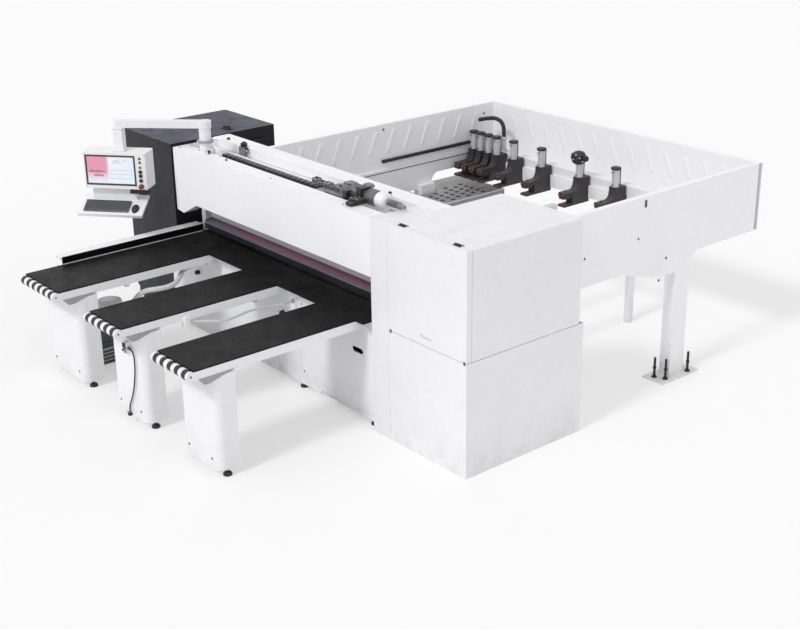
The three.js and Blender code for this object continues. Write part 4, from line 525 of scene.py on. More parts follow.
def ring(outer, inner, height, sides=24):
    """A flat ring around +Z from the origin, in millimetres: walls drawn up, in and down, then bridged."""
    bpy.ops.mesh.primitive_circle_add(vertices=sides, radius=outer * 0.001, location=(0, 0, 0))
    piece = bpy.context.object
    opened(piece, "EDGE", "SELECT")
    drawn_up(height * 0.001)
    drawn_up(0)
    widened(inner / outer, height * 0.001)
    drawn_up(-height * 0.001)
    bpy.ops.mesh.select_all(action="DESELECT")
    bpy.ops.mesh.select_non_manifold()
    bpy.ops.mesh.bridge_edge_loops()
    bpy.ops.mesh.select_all(action="SELECT")
    bpy.ops.mesh.normals_make_consistent(inside=False)
    return soften(closed(piece), width=0.4, segments=1)


def pocket(piece, direction, inset, depth):
    """Insets the large faces that look in a direction and sinks them, in millimetres."""
    direction = Vector(direction)
    opened_towards(piece, direction, 0.999, 0.5)
    bpy.ops.mesh.inset(thickness=inset * 0.001, depth=0)
    bpy.ops.mesh.extrude_region_move(TRANSFORM_OT_translate={"value": direction * (-depth * 0.001)})
    return closed(piece)


def tapered(piece, direction, ratio, centre):
    """Scales the end that looks in a direction about a centre."""
    opened_towards(piece, Vector(direction), 0.9)
    bpy.ops.transform.resize(value=ratio, center_override=centre)
    return closed(piece)


def laid(piece, place, direction=UP):
    """Turns a part that was made along +Z to a direction and moves it to its place."""
    piece.rotation_mode = "QUATERNION"
    piece.rotation_quaternion = Vector(UP).rotation_difference(Vector(direction))
    piece.location = place
    return settle(piece)


def leaned(piece, degrees, place=(0, 0, 0)):
    """Turns a piece by its angles about X, Y and Z and moves it to its place."""
    piece.rotation_mode = "XYZ"
    piece.rotation_euler = [math.radians(angle) for angle in degrees]
    piece.location = place
    return settle(piece)


def lathed(steps, place, direction=UP, sides=24, edge=0.0):
    """A turned part laid at a place of the layout."""
    return laid(turned(steps, sides, edge), spot(*place), direction)


def copied(piece, shift=(0, 0, 0)):
    """A copy with its own mesh, moved by a shift in millimetres."""
    twin = piece.copy()
    twin.data = piece.data.copy()
    bpy.context.scene.collection.objects.link(twin)
    twin.location = Vector(shift) * 0.001
    return settle(twin)


def repeated(piece, shifts):
    """The piece and a copy of it at each further shift."""
    return [piece] + [copied(piece, shift) for shift in shifts]


def laid_out(piece, places, direction):
    """The piece, made along +Z, and a copy of it for each further place, laid at places of the layout."""
    pieces = repeated(piece, [(0, 0, 0)] * (len(places) - 1))
    return [laid(each, spot(*place), direction) for each, place in zip(pieces, places)]


def lathes(steps, places, direction=UP, sides=24, edge=0.0):
    """The same turned part at several places of the layout."""
    return laid_out(turned(steps, sides, edge), places, direction)


def joined(pieces):
    bpy.ops.object.select_all(action="DESELECT")
    for piece in pieces:
        piece.select_set(True)
    bpy.context.view_layer.objects.active = pieces[0]
    if len(pieces) > 1:
        bpy.ops.object.join()
    return pieces[0]


def bolt_head(radius, height):
    """A hexagon bolt head on a washer, standing on the origin."""
    washer = turned([(radius * 1.35, 0), (radius * 1.35, height * 0.2)], 16)
    head = turned([(radius, height * 0.2), (radius, height * 0.8), (radius * 0.85, height)], 6)
    return joined([washer, head])


def bolts(places, radius, height, direction=UP):
    """The same bolt at several places of the layout."""
    return laid_out(bolt_head(radius, height), places, direction)


def around(x, y, z, radius, first):
    """Six places on a level circle of the layout, beginning at an angle in degrees."""
    turns = [math.radians(first + k * 60) for k in range(6)]
    return [(x + radius * math.cos(turn), y + radius * math.sin(turn), z) for turn in turns]


def onto_console(piece):
    """Sets a piece made around the console's own axis onto the console's head."""
    return leaned(piece, (0, 0, CASE_TURN_DEGREES), (CONSOLE_HEAD + LAYOUT_SHIFT) * 0.001)


def onto_tray(piece):
    """Sets a piece made flat on the tray's rear edge onto the leaning tray."""
    return onto_console(leaned(piece, (TRAY_TILT_DEGREES, 0, 0), (0, 0, TRAY_TOP * 0.001)))


def onto_panel(piece, height, stand=0.2, across=PANEL_COLUMN):
    """Sets a piece made along +Z onto the console's front, standing out of it."""
    return onto_console(laid(piece, Vector((across, CASE_FRONT + stand, height)) * 0.001, FRONT))


def finished(name, pieces, material, body="machine", smooth=35, slot=None):
    """Joins the pieces into one named piece with its finish, and lets it ride on its body."""
    piece = joined(pieces if isinstance(pieces, list) else [pieces])
    piece.name = name
    piece.data.name = name
    piece.data.materials.clear()
    piece.data.materials.append(material)
    alone(piece)
    bpy.ops.object.shade_smooth_by_angle(angle=math.radians(smooth))
    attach(piece, body)
    slot = slot or SLOT_OF.get(material.name)
    return piece


# Hoses and cable

def smooth_route(points, steps):
    """Points along a centripetal Catmull-Rom curve, evenly in its parameter."""
    line = []
    spans = len(points) - 1
    for step in range(steps + 1):
        along = spans * step / steps
        i = min(int(along), spans - 1)
        s = along - i
        p1, p2 = points[i], points[i + 1]
        p0 = points[i - 1] if i > 0 else p1 + (p1 - p2)
        p3 = points[i + 2] if i + 2 <= spans else p2 + (p2 - p1)
        d0, d1, d2 = (max((b - a).length, 1e-6) ** 0.5 for a, b in ((p0, p1), (p1, p2), (p2, p3)))
        m1 = ((p1 - p0) / d0 - (p2 - p0) / (d0 + d1) + (p2 - p1) / d1) * d1
        m2 = ((p2 - p1) / d1 - (p3 - p1) / (d1 + d2) + (p3 - p2) / d2) * d1
        s2, s3 = s ** 2, s ** 3
        line.append(p1 * (2 * s3 - 3 * s2 + 1) + m1 * (s3 - 2 * s2 + s)
                    + p2 * (3 * s2 - 2 * s3) + m2 * (s3 - s2))
    return line


def even_line(line, spacing):
    """The same line with its points a fixed spacing apart, and its length."""
    total = sum((b - a).length for a, b in zip(line, line[1:]))
    count = max(2, round(total / spacing))
    pitch = total / count
    even, walked, target = [line[0]], 0.0, pitch
    for a, b in zip(line, line[1:]):
        step = (b - a).length
        while walked + step >= target - 1e-9 and len(even) < count:
            even.append(a + (b - a) * ((target - walked) / step))
            target += pitch
        walked += step
    even.append(line[-1])
    return even, total


def hose_mesh(name, line, radius, sides, rib=0.0, rings_per_rib=4):
    """A tube along a line of points; with a rib height its skin waves once every few rings."""
    vertices, faces = [], []
    side = Vector(UP).cross(line[1] - line[0]).normalized()
    for i, point in enumerate(line):
        ahead = (line[min(i + 1, len(line) - 1)] - line[max(i - 1, 0)]).normalized()
        side = (side - ahead * side.dot(ahead)).normalized()
        over = ahead.cross(side)
        wave = rib * (0.5 - 0.5 * math.cos(2 * math.pi * i / rings_per_rib))
        for k in range(sides):
            angle = 2 * math.pi * k / sides
            vertices.append(point + (side * math.cos(angle) + over * math.sin(angle)) * (radius - wave))
        if i:
            low, high = (i - 1) * sides, i * sides
            for k in range(sides):
                after = (k + 1) % sides
                faces.append((low + k, low + after, high + after, high + k))
    faces.append(tuple(reversed(range(sides))))
    faces.append(tuple(range(len(vertices) - sides, len(vertices))))
    mesh = bpy.data.meshes.new(name)
    mesh.from_pydata(vertices, [], faces)
    mesh.update()
    piece = bpy.data.objects.new(name, mesh)
    bpy.context.scene.collection.objects.link(piece)
    return piece


def free_hose(name, node, material, radius, start, straight, shares, reach, last, end, sides=20, rib=0.0,
              spacing=0.008):
    """A hose or cable between two fixed ends, in place of a node of the frame.

    The route begins and ends straight. In between it passes points given as shares of its reach.
    """
    middle = [tuple(s + share * r for s, share, r in zip(start, three, reach)) for three in shares]
    route = [spot(*point) for point in (start, straight, *middle, last, end)]
    line, length = even_line(smooth_route(route, 600), spacing)
    piece = finished(name, hose_mesh(name, line, radius, sides, rib), material, smooth=70)
    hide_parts(node)


free_hose(
    "air_hose", "blower_hose", HOSE_GREEN, 0.0229, (-3643.7, -850, 480), (-3599.7, -850, 480),
    [(0.2, 0.01, 0.08), (0.36, 0.03, 0.38), (0.54, 0.06, 0.7), (0.74, 0.1, 0.9), (0.93, 0.17, 0.98),
     (1, 0.27, 1), (0.93, 0.38, 1), (0.76, 0.47, 0.99), (0.56, 0.56, 0.99), (0.36, 0.66, 0.985),
     (0.23, 0.78, 0.983)],
    (450, 869.7, 326), (-3560, -68.3, 800), (-3560, 19.7, 800), rib=0.0022, spacing=0.0032)
free_hose(
    "thin_air_hose", "table_hose", HOSE_GREEN, 0.0109, (-2255, -963.7, 841.7), (-2255, -929.7, 841.7),
    [(0.12, 0.09, 0.06), (0.52, 0.16, 0.2), (0.9, 0.23, 0.36), (1, 0.31, 0.5), (0.84, 0.39, 0.62),
     (0.5, 0.48, 0.75), (0.24, 0.58, 0.86), (0.2, 0.68, 0.94), (0.36, 0.78, 0.99), (0.6, 0.88, 1)],
    (96, 983.4, -41.7), (-2190, -14.3, 800), (-2190, 19.7, 800), sides=16)
free_hose(
    "leg_control_cable", "leg_cable", RUBBER, 0.006, (-2455.7, -1416, 687.7), (-2431.7, -1416, 687.7),
    [(0.66, 0, 0.015), (0.93, 0, 0.07), (1, 0, 0.16), (0.9, 0, 0.3), (0.62, 0, 0.47), (0.2, 0, 0.64),
     (-0.3, 0, 0.78), (-0.72, 0, 0.88)],
    (84, 0, -589.4), (-2531, -1416, 122.3), (-2531, -1416, 98.3), sides=12, spacing=0.006)


# Console

PANEL_LAMPS = (1754.9, 1719.8, 1673.1)
PANEL_BUTTONS = (1631.0, 1594.9, 1549.8)
STOP_HEIGHT = 1496.1


def console_screen():
    bezel = pocket(local_slab((-309.4, 171.4), (-111.4, -104.4), (1496.6, 1779.4), 2), FRONT, 15, 3)
    finished("screen_bezel", onto_console(bezel), BEZEL_GREY, "console")
    glass = local_slab((-292, 154), (-109, -107.6), (1514, 1762), 0.3, 1)
    finished("screen_glass", onto_console(glass), SCREEN_GLASS, "console")
    rose = [(first + k * 13.5, 9, low, height) for low, first, heights in (
                (1614, -276, (20, 26, 22, 27, 18, 24, 26, 20, 25, 22, 14, 20)),
                (1578, -232, (22, 18, 26, 20, 24, 16, 22))) for k, height in enumerate(heights)]
    grey = ((-40, 62, 1722, 7), (-52, 90, 1706, 4), (54, 34, 1726, 5), (-70, 200, 1560, 3),
            (-70, 200, 1600, 3), (-70, 200, 1640, 3), (-70, 3, 1560, 83), (128, 3, 1560, 83))
    for name, marks, front, finish in (("screen_rose_bars", rose, -109.5, SCREEN_ROSE),
                                       ("screen_grey_bars", grey, -109.4, SCREEN_GREY)):
        bars = [local_slab((x, x + width), (front, -108.9), (low, low + height), 0.2, 1)
                for x, width, low, height in marks]
        finished(name, onto_console(joined(bars)), finish, "console")


def console_buttons():
    rims = [onto_panel(ring(21, 14.5, 3.4), height) for height in PANEL_BUTTONS]
    rims.append(onto_panel(ring(25, 13.5, 3), STOP_HEIGHT))
    rims += [onto_panel(ring(13, 9.3, 3.6), height) for height in PANEL_LAMPS]
    finished("panel_button_rims", rims, STEEL, "console")
    dome = [(9.5, 0), (9.5, 5.5), (8.2, 8.5), (5.2, 10.5), (2, 11.2)]
    lenses = [onto_panel(turned(dome, 20), height) for height in PANEL_LAMPS]
    finished("panel_lamp_lenses", lenses, LAMP_LENS, "console")
    for index, height in enumerate(PANEL_BUTTONS):
        cap = pocket(turned([(11.8, 8.8), (12.5, 9.5), (12.5, 11.2), (10.8, 12.4)]), UP, 1.6, 0.8)
        onto_panel(cap, height, 0)
        finished(f"push_button_cap_{index + 1}", cap, BLACK_PLASTIC, f"button_{index + 1}")
    head = turned([(17.2, 25.5), (19.8, 26.2), (19.8, 29), (17.8, 32.8), (13, 35.2), (6, 36.2)], 32)
    finished("stop_mushroom", onto_panel(head, STOP_HEIGHT, 0), RED_PLASTIC, "stop")


def tray_key(low, high, y, narrowing):
    """A key between two x of the tray, with a smaller top; the keyboard slopes down to the operator."""
    top = 20.3 - 8.0 / 124.0 * (-100.0 - y)
    key = local_slab((low, high), (y - 9.6, y + 9.6), (top - 1, top + 4), 0)
    tapered(key, UP, (narrowing, 0.8, 1), Vector(((low + high) / 2, y, top + 4)) * 0.001)
    return soften(key, 0.8, 1)


def console_keys():
    pitch, columns, rows = 27.6, 15, 5
    first = -115.0 - 7 * pitch
    keys = []
    for row in range(rows):
        y = -116.0 - row * 23.0
        under_bar = range(4, 10) if row == rows - 1 else ()
        shifts = [(column * pitch, 0, 0) for column in range(1, columns) if column not in under_bar]
        keys += repeated(tray_key(first - 12, first + 12, y, 0.82), shifts)
    keys.append(tray_key(first + 4 * pitch - 12, first + 9 * pitch + 12, y, 0.97))
    finished("keyboard_keys", onto_tray(joined(keys)), KEY_TOPS, "console")


def console_mouse():
    shell = turned([(30, 0.4), (34, 4), (33.5, 12), (30, 20), (23, 26), (14, 29.5), (5, 31)], 28)
    shell.scale = (1.0, 1.45, 1.0)
    wheel = laid(turned([(8, -3), (9, -2), (9, 2), (8, 3)], 16), (0, 0.026, 0.023), RIGHT)
    mouse = leaned(joined([settle(shell), wheel]), (0, 0, 0), (0.158, -0.186, 0))
    finished("tray_mouse", onto_tray(mouse), BLACK_PLASTIC, "console")


def console_fittings():
    bracket = pocket(local_slab((97, 268), (-110, -40), (1424, 1452), 3), FRONT, 5, 3)
    rail = local_slab((104, 262), (-104, -46), (1452, 1465.9), 1.5)
    finished("case_bracket", onto_console(joined([bracket, rail])), BLACK_PLASTIC, "console")
    seam = local_slab((-324.2, 270.2), (-92.6, -90.2), (1465.2, 1466), 0.2, 1)
    lip = local_slab((-322.5, 268.5), (-113.6, -111.8), (1467.5, 1474), 0.6)
    finished("case_front_lip", onto_console(joined([seam, lip])), CASE_WHITE, "console")
    heads = [onto_panel(bolt_head(3.2, 2.4), z, 0.1, x) for x in (-316, 262) for z in (1480, 1788)]
    finished("case_front_screws", heads, STEEL, "console")
    collar = local_slab((-56, 56), (-56, 56), (1800, 1812), 3)
    tapered(collar, UP, (0.86, 0.86, 1), Vector((0, 0, 1.812)))
    upper = local_slab((-50, 50), (-50, 50), (2006, 2016.2), 2)
    finished("drop_tube_collars", onto_console(joined([collar, upper])), CASE_WHITE, "console")


def console_arm_fittings():
    caps = []
    for x, y, radius in ((CONSOLE_HEAD.x, CONSOLE_HEAD.y, 34), (POST_X, POST_Y, 54)):
        cap = pocket(turned([(radius, 0), (radius, 1.5), (radius * 0.95, 3)], 32), UP, 4, 0.8)
        caps.append(laid(cap, spot(x, y, ARM_TOP)))
    finished("arm_pivot_caps", caps, CASE_WHITE, "swivel_arm")
    screws = bolts(around(POST_X, POST_Y, ARM_TOP + 2.2, 40, 20), 4.5, 2.4)
    finished("arm_hub_screws", screws, STEEL, "swivel_arm")
    clamp = laid(ring(74, 57, 18, 40), spot(POST_X, POST_Y, 1886))
    lugs = [slab((x, x + 34), (136, 164), (1888, 1902), 2) for x in (-3744, -3600)]
    finished("post_clamp_ring", [clamp, *lugs], BAR_GREY)
    finished("post_collar_bolts", bolts(around(POST_X, POST_Y, 1820.4, 72, 30), 7, 7), STEEL)


# Beam

def beam_knobs():
    large = [(13, 0), (13, 5), (9, 7), (9, 15), (14, 19), (14, 27), (10, 31)]
    knobs = [lathed(large, (-3552, 118, BEAM_TOP), UP, 20, 0.8),
             lathed([(10, 0), (10, 6), (7, 9), (7, 14)], (-3250, 104, BEAM_TOP), UP, 16, 0.6)]
    flat = ((-3920, 40), (-3400, 140), (-2500, 60), (-1500, 60))
    knobs += lathes([(7, 0), (7, 2), (5, 4)], [(x, y, BEAM_TOP) for x, y in flat], sides=12)
    finished("beam_flange_knobs", knobs, BLACK_PLASTIC)
    foot = slab((-3610, -3430), (447, 481), (1716, 1724), 2)
    body = pocket(slab((-3578, -3490), (448, 481), (1724, 1806), 4), FRONT, 8, 3)
    side = lathed([(13, 0), (16, 2), (16, 34), (13, 38), (9, 40), (9, 54)], (-3490, 464, 1780), RIGHT, 28, 1)
    finished("chain_valve_block", [foot, body, side], MACHINED_GREY)
    drum = lathed([(27, 0), (32, 4), (32, 30), (27, 36), (14, 38), (14, 46)], (-3536, 480, 1806), UP, 28, 1)
    plug = lathed([(15, 0), (15, 16), (11, 20)], (-3470, 466, 1792), UP, 20, 0.8)
    finished("chain_valve_caps", [drum, plug], BLACK_PLASTIC)
    finished("rear_cover_clip", slab((-3888, -3868), (520, 546), (1800, 1818), 1.5), BLACK_PLASTIC)


def chain_links():
    """Side plates and cross bars of the energy chain in the beam's channel, and the tray that it lies in."""
    plate = slab((-3596, -3534), (277.6, 280.4), (1718, 1756), 0.8, 1)
    pin = lathed([(5, 0), (5, 2.5), (4, 3.2)], (-3565, 278, 1737), FRONT, 12)
    bar = slab((-3586, -3544), (283, 333), (1758.6, 1762.6), 0.8, 1)
    shifts = [(k * 66, 0, 0) for k in range(1, 22)]
    finished("chain_side_plates", repeated(joined([plate, pin]), shifts), BLACK_PLASTIC)
    finished("chain_cross_bars", repeated(bar, shifts), CHAIN_BAR)
    tray = [slab((-3606, -2128), (272, 345), (1715.3, 1716.6), 0.4, 1),
            slab((-3606, -2128), (345, 347), (1715.5, 1764), 0.4, 1)]
    finished("chain_tray", tray, LIGHTENED_WHITE)


def aligner_link():
    """The grey bar that couples the aligner to its energy chain."""
    pods = [slab((-2214, -1746), (288, 336), (1784.6, 1796), 2)]
    for x, width, height in ((-2222, 66, 1826), (-2140, 58, 1812), (-2066, 74, 1820), (-1976, 60, 1810),
                             (-1900, 84, 1824), (-1800, 52, 1814)):
        pods.append(pocket(slab((x, x + width), (282, 342), (1786, height), 3), UP, 8, 3))
    finished("aligner_coupling", pods, MACHINED_GREY, "aligner")
    large = [(x, 312, z) for x, z in ((-2189, 1823), (-2111, 1809), (-1858, 1821))]
    small = [(x, 300, z) for x, z in ((-2040, 1817), (-1946, 1807), (-1774, 1811))]
    plugs = lathes([(15, 0), (15, 9), (11, 12)], large, sides=18, edge=0.8)
    plugs += lathes([(9, 0), (9, 7), (7, 9)], small, sides=14)
    plugs += [slab((x, x + 14), (278, 284), (1790, 1806), 1.5)
              for x in (-2200, -2120, -2030, -1950, -1870, -1784)]
    finished("aligner_coupling_plugs", plugs, BLACK_PLASTIC, "aligner")


def aligner_mast():
    """The black angle bracket in front of the motor, with its arm, head and overhanging foot."""
    post = pocket(slab((-1508, -1456), (196, 222), (1806, 1904), 3), FRONT, 9, 4)
    head = slab((-1524, -1440), (198, 300), (1899, 1914), 3)
    foot = slab((-1500, -1388), (108, 204), (1804, 1846), 4)
    tapered(foot, UP, (0.84, 0.9, 1), spot(-1444, 156, 1846))
    toe = pocket(slab((-1468, -1396), (56, 112), (1803, 1832), 3), UP, 8, 3)
    arm = slab((-1648, -1500), (200, 222), (1808, 1848), 4)
    elbow = slab((-1652, -1604), (170, 224), (1786, 1862), 5)
    finished("aligner_bracket", [post, head, foot, toe, arm, elbow], CAST_BLACK, "aligner")
    places = [(-1484, 124, 1845.5), (-1404, 124, 1845.5), (-1444, 180, 1845.5), (-1508, 240, 1913.5),
              (-1456, 276, 1913.5), (-1628, 190, 1861.5)]
    finished("aligner_bracket_bolts", bolts(places, 6, 6), STEEL, "aligner")


def aligner_motor_parts():
    """Gearbox lids, motor fins, white brake disc, screw and hand wheel along the aligner's drive axis."""
    y, z = 290, 1832
    lid = pocket(slab((-1742, -1658), (250, 330), (1889.4, 1896), 3), UP, 8, 2)
    front = pocket(slab((-1738, -1662), (229, 237.6), (1794, 1870), 3), FRONT, 8, 2)
    fin = [(60, 0), (67, 1.5), (67, 5), (60, 7)]
    fins = lathes(fin, [(-1638 + k * 16, y, z) for k in range(18)], RIGHT, 32)
    box = pocket(slab((-1590, -1530), (330, 392), (1836, 1900), 5), UP, 5, 2)
    neck = lathed([(58, 0), (58, 30)], (-1352, y, z), RIGHT, 32)
    finished("aligner_motor_castings", [lid, front, *fins, box, neck], MACHINED_GREY, "aligner")
    disc = [(62, 0), (68, 4), (68, 84), (64, 90), (52, 94), (52, 100), (40, 103)]
    finished("aligner_brake_disc", lathed(disc, (-1324, y, z), RIGHT, 36, 1), CASE_WHITE, "aligner")
    shank = [(26, 0), (26, 20), (22, 22), (22, 150), (16, 154), (16, 200)]
    screw = [lathed(shank, (-1222, y, z + 3), RIGHT, 24, 0.6)]
    turns = [(-1196 + k * 13.5, y, z + 3) for k in range(9)]
    screw += lathes([(22, 0), (29, 3), (29, 6), (22, 9)], turns, RIGHT)
    finished("aligner_drive_screw", screw, MACHINED_GREY, "aligner", slot="machined_steel")
    gland = lathed([(16, 0), (16, 10), (11, 12), (11, 26), (8, 28)], (-1560, 392, 1868), REAR, 16, 0.6)
    knob = lathed([(14, 0), (14, 16), (10, 21)], (-1262, 340, 1880), UP, 20, 0.8)
    stem = lathed([(6, 0), (6, 26)], (-1262, 340, 1860), sides=12)
    finished("aligner_motor_knob", [gland, knob, stem], BLACK_PLASTIC, "aligner")


def aligner_guide_parts():
    """Runner blocks on the rail, the screws of the bridge plate and the facing of the arm's pad."""
    caps = [slab((x, x + 12), (402, 442), (1721, 1768), 2) for x in (-2058, -1656)]
    finished("aligner_runner_seals", caps, BLACK_PLASTIC, "aligner")
    places = [(x, y, 1783) for x in (-2030, -1980, -1930) for y in (150, 424)]
    finished("aligner_bridge_screws", bolts(places, 6, 6), STEEL, "aligner")
    pad = slab((-2044, -1936), (57, 62.5), (1333, 1401), 2)
    finished("aligner_pad_facing", pad, BLACK_PLASTIC, "aligner_reach")


# Pressure beam, saw table and fence

def pressure_strips():
    """Coloured strips along the pressure beam: web, shoulder, lip line and lip, with the end brackets."""
    web = slab((-3742, -1116), (212.6, 213.8), (1146, 1296), 0.4, 1)
    finished("pressure_web_plate", web, WEB_GREY, "press")
    shoulder = local_slab((-1313, 1313), (2, 75), (0.4, 2.4), 0.6, 1)
    leaned(shoulder, (math.degrees(math.atan2(26, 74)), 0, 0), spot(-2429, 140, 1116))
    finished("pressure_rose_strip", shoulder, ROSE_STRIP, "press")
    line = slab((-3744, -1114), (136.8, 139.8), (1104, 1115.6), 0.8, 1)
    finished("pressure_light_line", line, LINE_BLUE, "press")
    lip = slab((-3746, -1113), (135.4, 139.8), (1057, 1103.4), 1.2, 1)
    finished("pressure_blue_lip", lip, LIP_BLUE, "press")
    end = pocket(slab((-3757, -3750.3), (150, 392), (1060, 1136), 2), LEFT, 8, 2)
    stop = pocket(slab((-3748, -3640), (190, 212), (1200, 1292), 3), FRONT, 8, 2)
    finished("pressure_end_brackets", [end, stop], BAR_GREY, "press")
    places = [(-3757, y, z) for y in (176, 364) for z in (1074, 1122)]
    finished("pressure_end_bolts", bolts(places, 6, 5, LEFT), STEEL, "press")


def table_nozzles():
    """Small round air nozzles in rows on the saw table and the front tables."""
    for name, x, y, columns, rows, across, along in (
            ("saw_table_nozzles", -3860, 40, 17, 2, 160, 150),
            ("table_nozzles_right", -1652, -1440, 3, 6, 190, 210),
            ("table_nozzles_middle", -2724, -1440, 3, 6, 190, 210),
            ("table_nozzles_left", -3894, -1440, 4, 6, 190, 210)):
        nozzle = pocket(lathed([(7.5, 0), (7.5, 0.7), (5.5, 1.1)], (x, y, TABLE_TOP), sides=14), UP, 2.2, 0.6)
        shifts = [(k * across, row * along, 0) for row in range(rows) for k in range(columns) if k or row]
        finished(name, repeated(nozzle, shifts), NOZZLE_BLACK)


def fence_parts():
    strip = slab((-3961.9, -3958.6), (-1203, 244), (949.5, 956), 0.5, 1)
    cap = slab((-4078, -3974), (-1203, 60), (1016, 1018.4), 0.8, 1)
    finished("fence_light_strip", [strip, cap], LIGHTENED_WHITE)
    end = pocket(slab((-4080, -3972), (-1209, -1205), (900, 1014), 1.5), FRONT, 10, 1.5)
    finished("fence_end_plate", end, LIGHTENED_WHITE)
    places = [(x, -1209, z) for x in (-4060, -3992) for z in (918, 996)]
    finished("fence_end_screws", bolts(places, 5, 4, FRONT), STEEL)


# Feet, legs and base

TABLE_EDGES = ((-1716, -1204), (-2788, -2276), (-3970, -3348))


def machine_feet():
    places = [(-4130 + k * 985, y, 0) for k in range(5) for y in (80, 622)]
    domes = lathes([(37, 0), (38, 3), (38, 12), (33, 22), (30.6, 26), (30.6, 34)], places, sides=28)
    finished("base_foot_domes", domes, BLACK_PLASTIC)
    places = [(x, -1305, 0) for left, right in TABLE_EDGES for x in (left + 42, right - 42)]
    domes = lathes([(35, 0), (36, 3), (36, 12), (30, 23), (20, 30), (13, 33), (13, 38)], places, sides=28)
    finished("table_foot_domes", domes, BLACK_PLASTIC)
    stems = lathes([(10, 36), (10, 50), (15, 50), (15, 60), (10, 60), (10, 66.5)], places, sides=6)
    finished("table_foot_stems", stems, STEEL)


def leg_parts():
    # The thin grey wedges on the legs' outer faces under the rails are painted shade, where the rail's lower
    # edge shades the leg.
    shade_wedges = []
    for left, right in TABLE_EDGES:
        shade_wedge = slab((right + 0.3, right + 1.5), (-1524, -1206), (814, 872), 0)
        shade_wedges.append(tapered(shade_wedge, (0, 0, -1), (1, 0.16, 1), spot(right, -1462, 814)))
    finished("rail_painted_shade_wedges", shade_wedges, BAR_GREY, slot="white_paint")
    places = [(x, -1400, 150) for left, right in TABLE_EDGES for x in (left + 92, right - 92)]
    finished("leg_foot_marks", lathes([(9, 0), (9, 3), (6, 4.5)], places, FRONT, 16, 0.4), BLACK_PLASTIC)
    brackets = [slab((right - 30, right - 6), (-1210, -1204), (730, 850), 1.5) for left, right in TABLE_EDGES]
    finished("leg_brackets", brackets, LIGHTENED_WHITE)
    finished("junction_pink_plug", slab((-2484, -2460), (-1446, -1436.6), (650, 678), 2), PINK_PLASTIC)
    lamp = lathed([(8, 0), (8, 6), (9, 8), (9, 12)], (-2500, -1436.6, 668), FRONT, 18, 0.6)
    upper = slab((-2506, -2492), (-1444, -1436.6), (690, 726), 2)
    finished("junction_black_parts", [lamp, upper], BLACK_PLASTIC)
    gland = lathed([(13, 0), (13, 8), (10, 10), (10, 22), (8, 24)], (-2455.7, -1416, 688), RIGHT, 6, 0.6)
    lid = pocket(slab((-2510, -2462), (-1436.5, -1434), (646, 730), 1.5), FRONT, 5, 1)
    finished("junction_box_lid", [gland, lid], SHADOW_GREY)
    finished("cable_foot_gland", slab((-2548, -2514), (-1434, -1404), (66, 98), 4), BLACK_PLASTIC)


def base_parts():
    knob = [(24, 0), (24, 4), (13, 7), (13, 16), (21, 20), (21, 34), (15, 38)]
    knobs = lathes(knob, [(x, 50, 630) for x in (-3772, -2825, -2392)], FRONT, 24, 1)
    finished("base_front_knobs", knobs, BLACK_PLASTIC)
    places = [(x, 45.7, z) for x, z in ((-2108, 170), (-2108, 790), (-1132, 170), (-1132, 790), (-1620, 790))]
    finished("panel_catches", lathes([(11, 0), (11, 2), (8, 3.5)], places, FRONT, 20, 0.4), STEEL)
    rims = [slab((-1404.8, -1287.8), (44.2, 45.9), (z - 1.6, z + 1.6), 0.5, 1) for z in (591, 633)]
    finished("hand_slot_rim", rims, BLACK_PLASTIC)
    finished("base_seam_strip", slab((-2145.6, -2144.4), (45.6, 50), (100, 850), 0.2, 1), SHADOW_GREY)
    clamps = []
    for x, radius in ((-3560, 24.5), (-2190, 12.5)):
        clamps.append(laid(ring(radius + 5, radius - 1.2, 12), spot(x, 18, 800), FRONT))
        clamps.append(slab((x - 5, x + 5), (7, 17), (800 + radius + 2, 800 + radius + 13), 1))
    finished("hose_clamps", clamps, STEEL)


def blower_parts():
    x, y = -3855, -850
    drum = [(112, 0), (114, 4), (114, 96), (108, 104), (70, 108), (70, 116), (52, 119)]
    cowl = lathed(drum, (x, y, 440), UP, 40, 1)
    fin = [(114, 0), (118, 2), (118, 5), (114, 7)]
    fins = lathes(fin, [(x, y, 450 + k * 16) for k in range(5)], sides=40)
    box = slab((-3792, -3742), (-900, -800), (436, 500), 4)
    finished("blower_motor_cowl", [cowl, *fins, box], LIGHTENED_WHITE)
    clamp = laid(ring(36, 30.4, 14, 28), spot(-3686, y, 480), RIGHT)
    nut = slab((-3684, -3674), (-856, -844), (514, 526), 1.5)
    finished("blower_spigot_clamp", [clamp, nut], STEEL)
    bars = [slab((-3690.2, -3687.5), (-1050, -650), (51 + k * 36, 57 + k * 36), 0.8, 1) for k in range(6)]
    finished("blower_grille_bars", bars, BLACK_PLASTIC)
    valve = pocket(slab((-3506, -3474), (-866, -828), (786, 861.5), 3), FRONT, 5, 2)
    finished("hose_valve", valve, LIGHTENED_WHITE)


# Cabinet and walls

HINGES_X = (-767, -153)


def cabinet_hinges():
    """Two black hinges on the cabinet's top edge: three sleeves and two leaves around each barrel."""
    door_parts, shell_parts = [], []
    for x in HINGES_X:
        door_parts.append(slab((x - 40, x + 40), (34, 49.6), (1800, 1803), 0.8))
        shell_parts.append(slab((x - 40, x + 40), (66, 84), (1800, 1803), 0.8))
        door_parts += [laid(ring(9.4, 7.2, 22, 20), spot(low, 60, 1803), RIGHT) for low in (x - 38, x + 16)]
        shell_parts.append(laid(ring(9.4, 7.2, 30, 20), spot(x - 15, 60, 1803), RIGHT))
    finished("hinge_leaves_door", door_parts, BLACK_PLASTIC, "door")
    finished("hinge_leaves_shell", shell_parts, BLACK_PLASTIC)
    screws = bolts([(x + s, 42, 1803) for x in HINGES_X for s in (-28, 0, 28)], 4, 2.5)
    finished("hinge_screws", screws, CHAIN_BAR, "door")


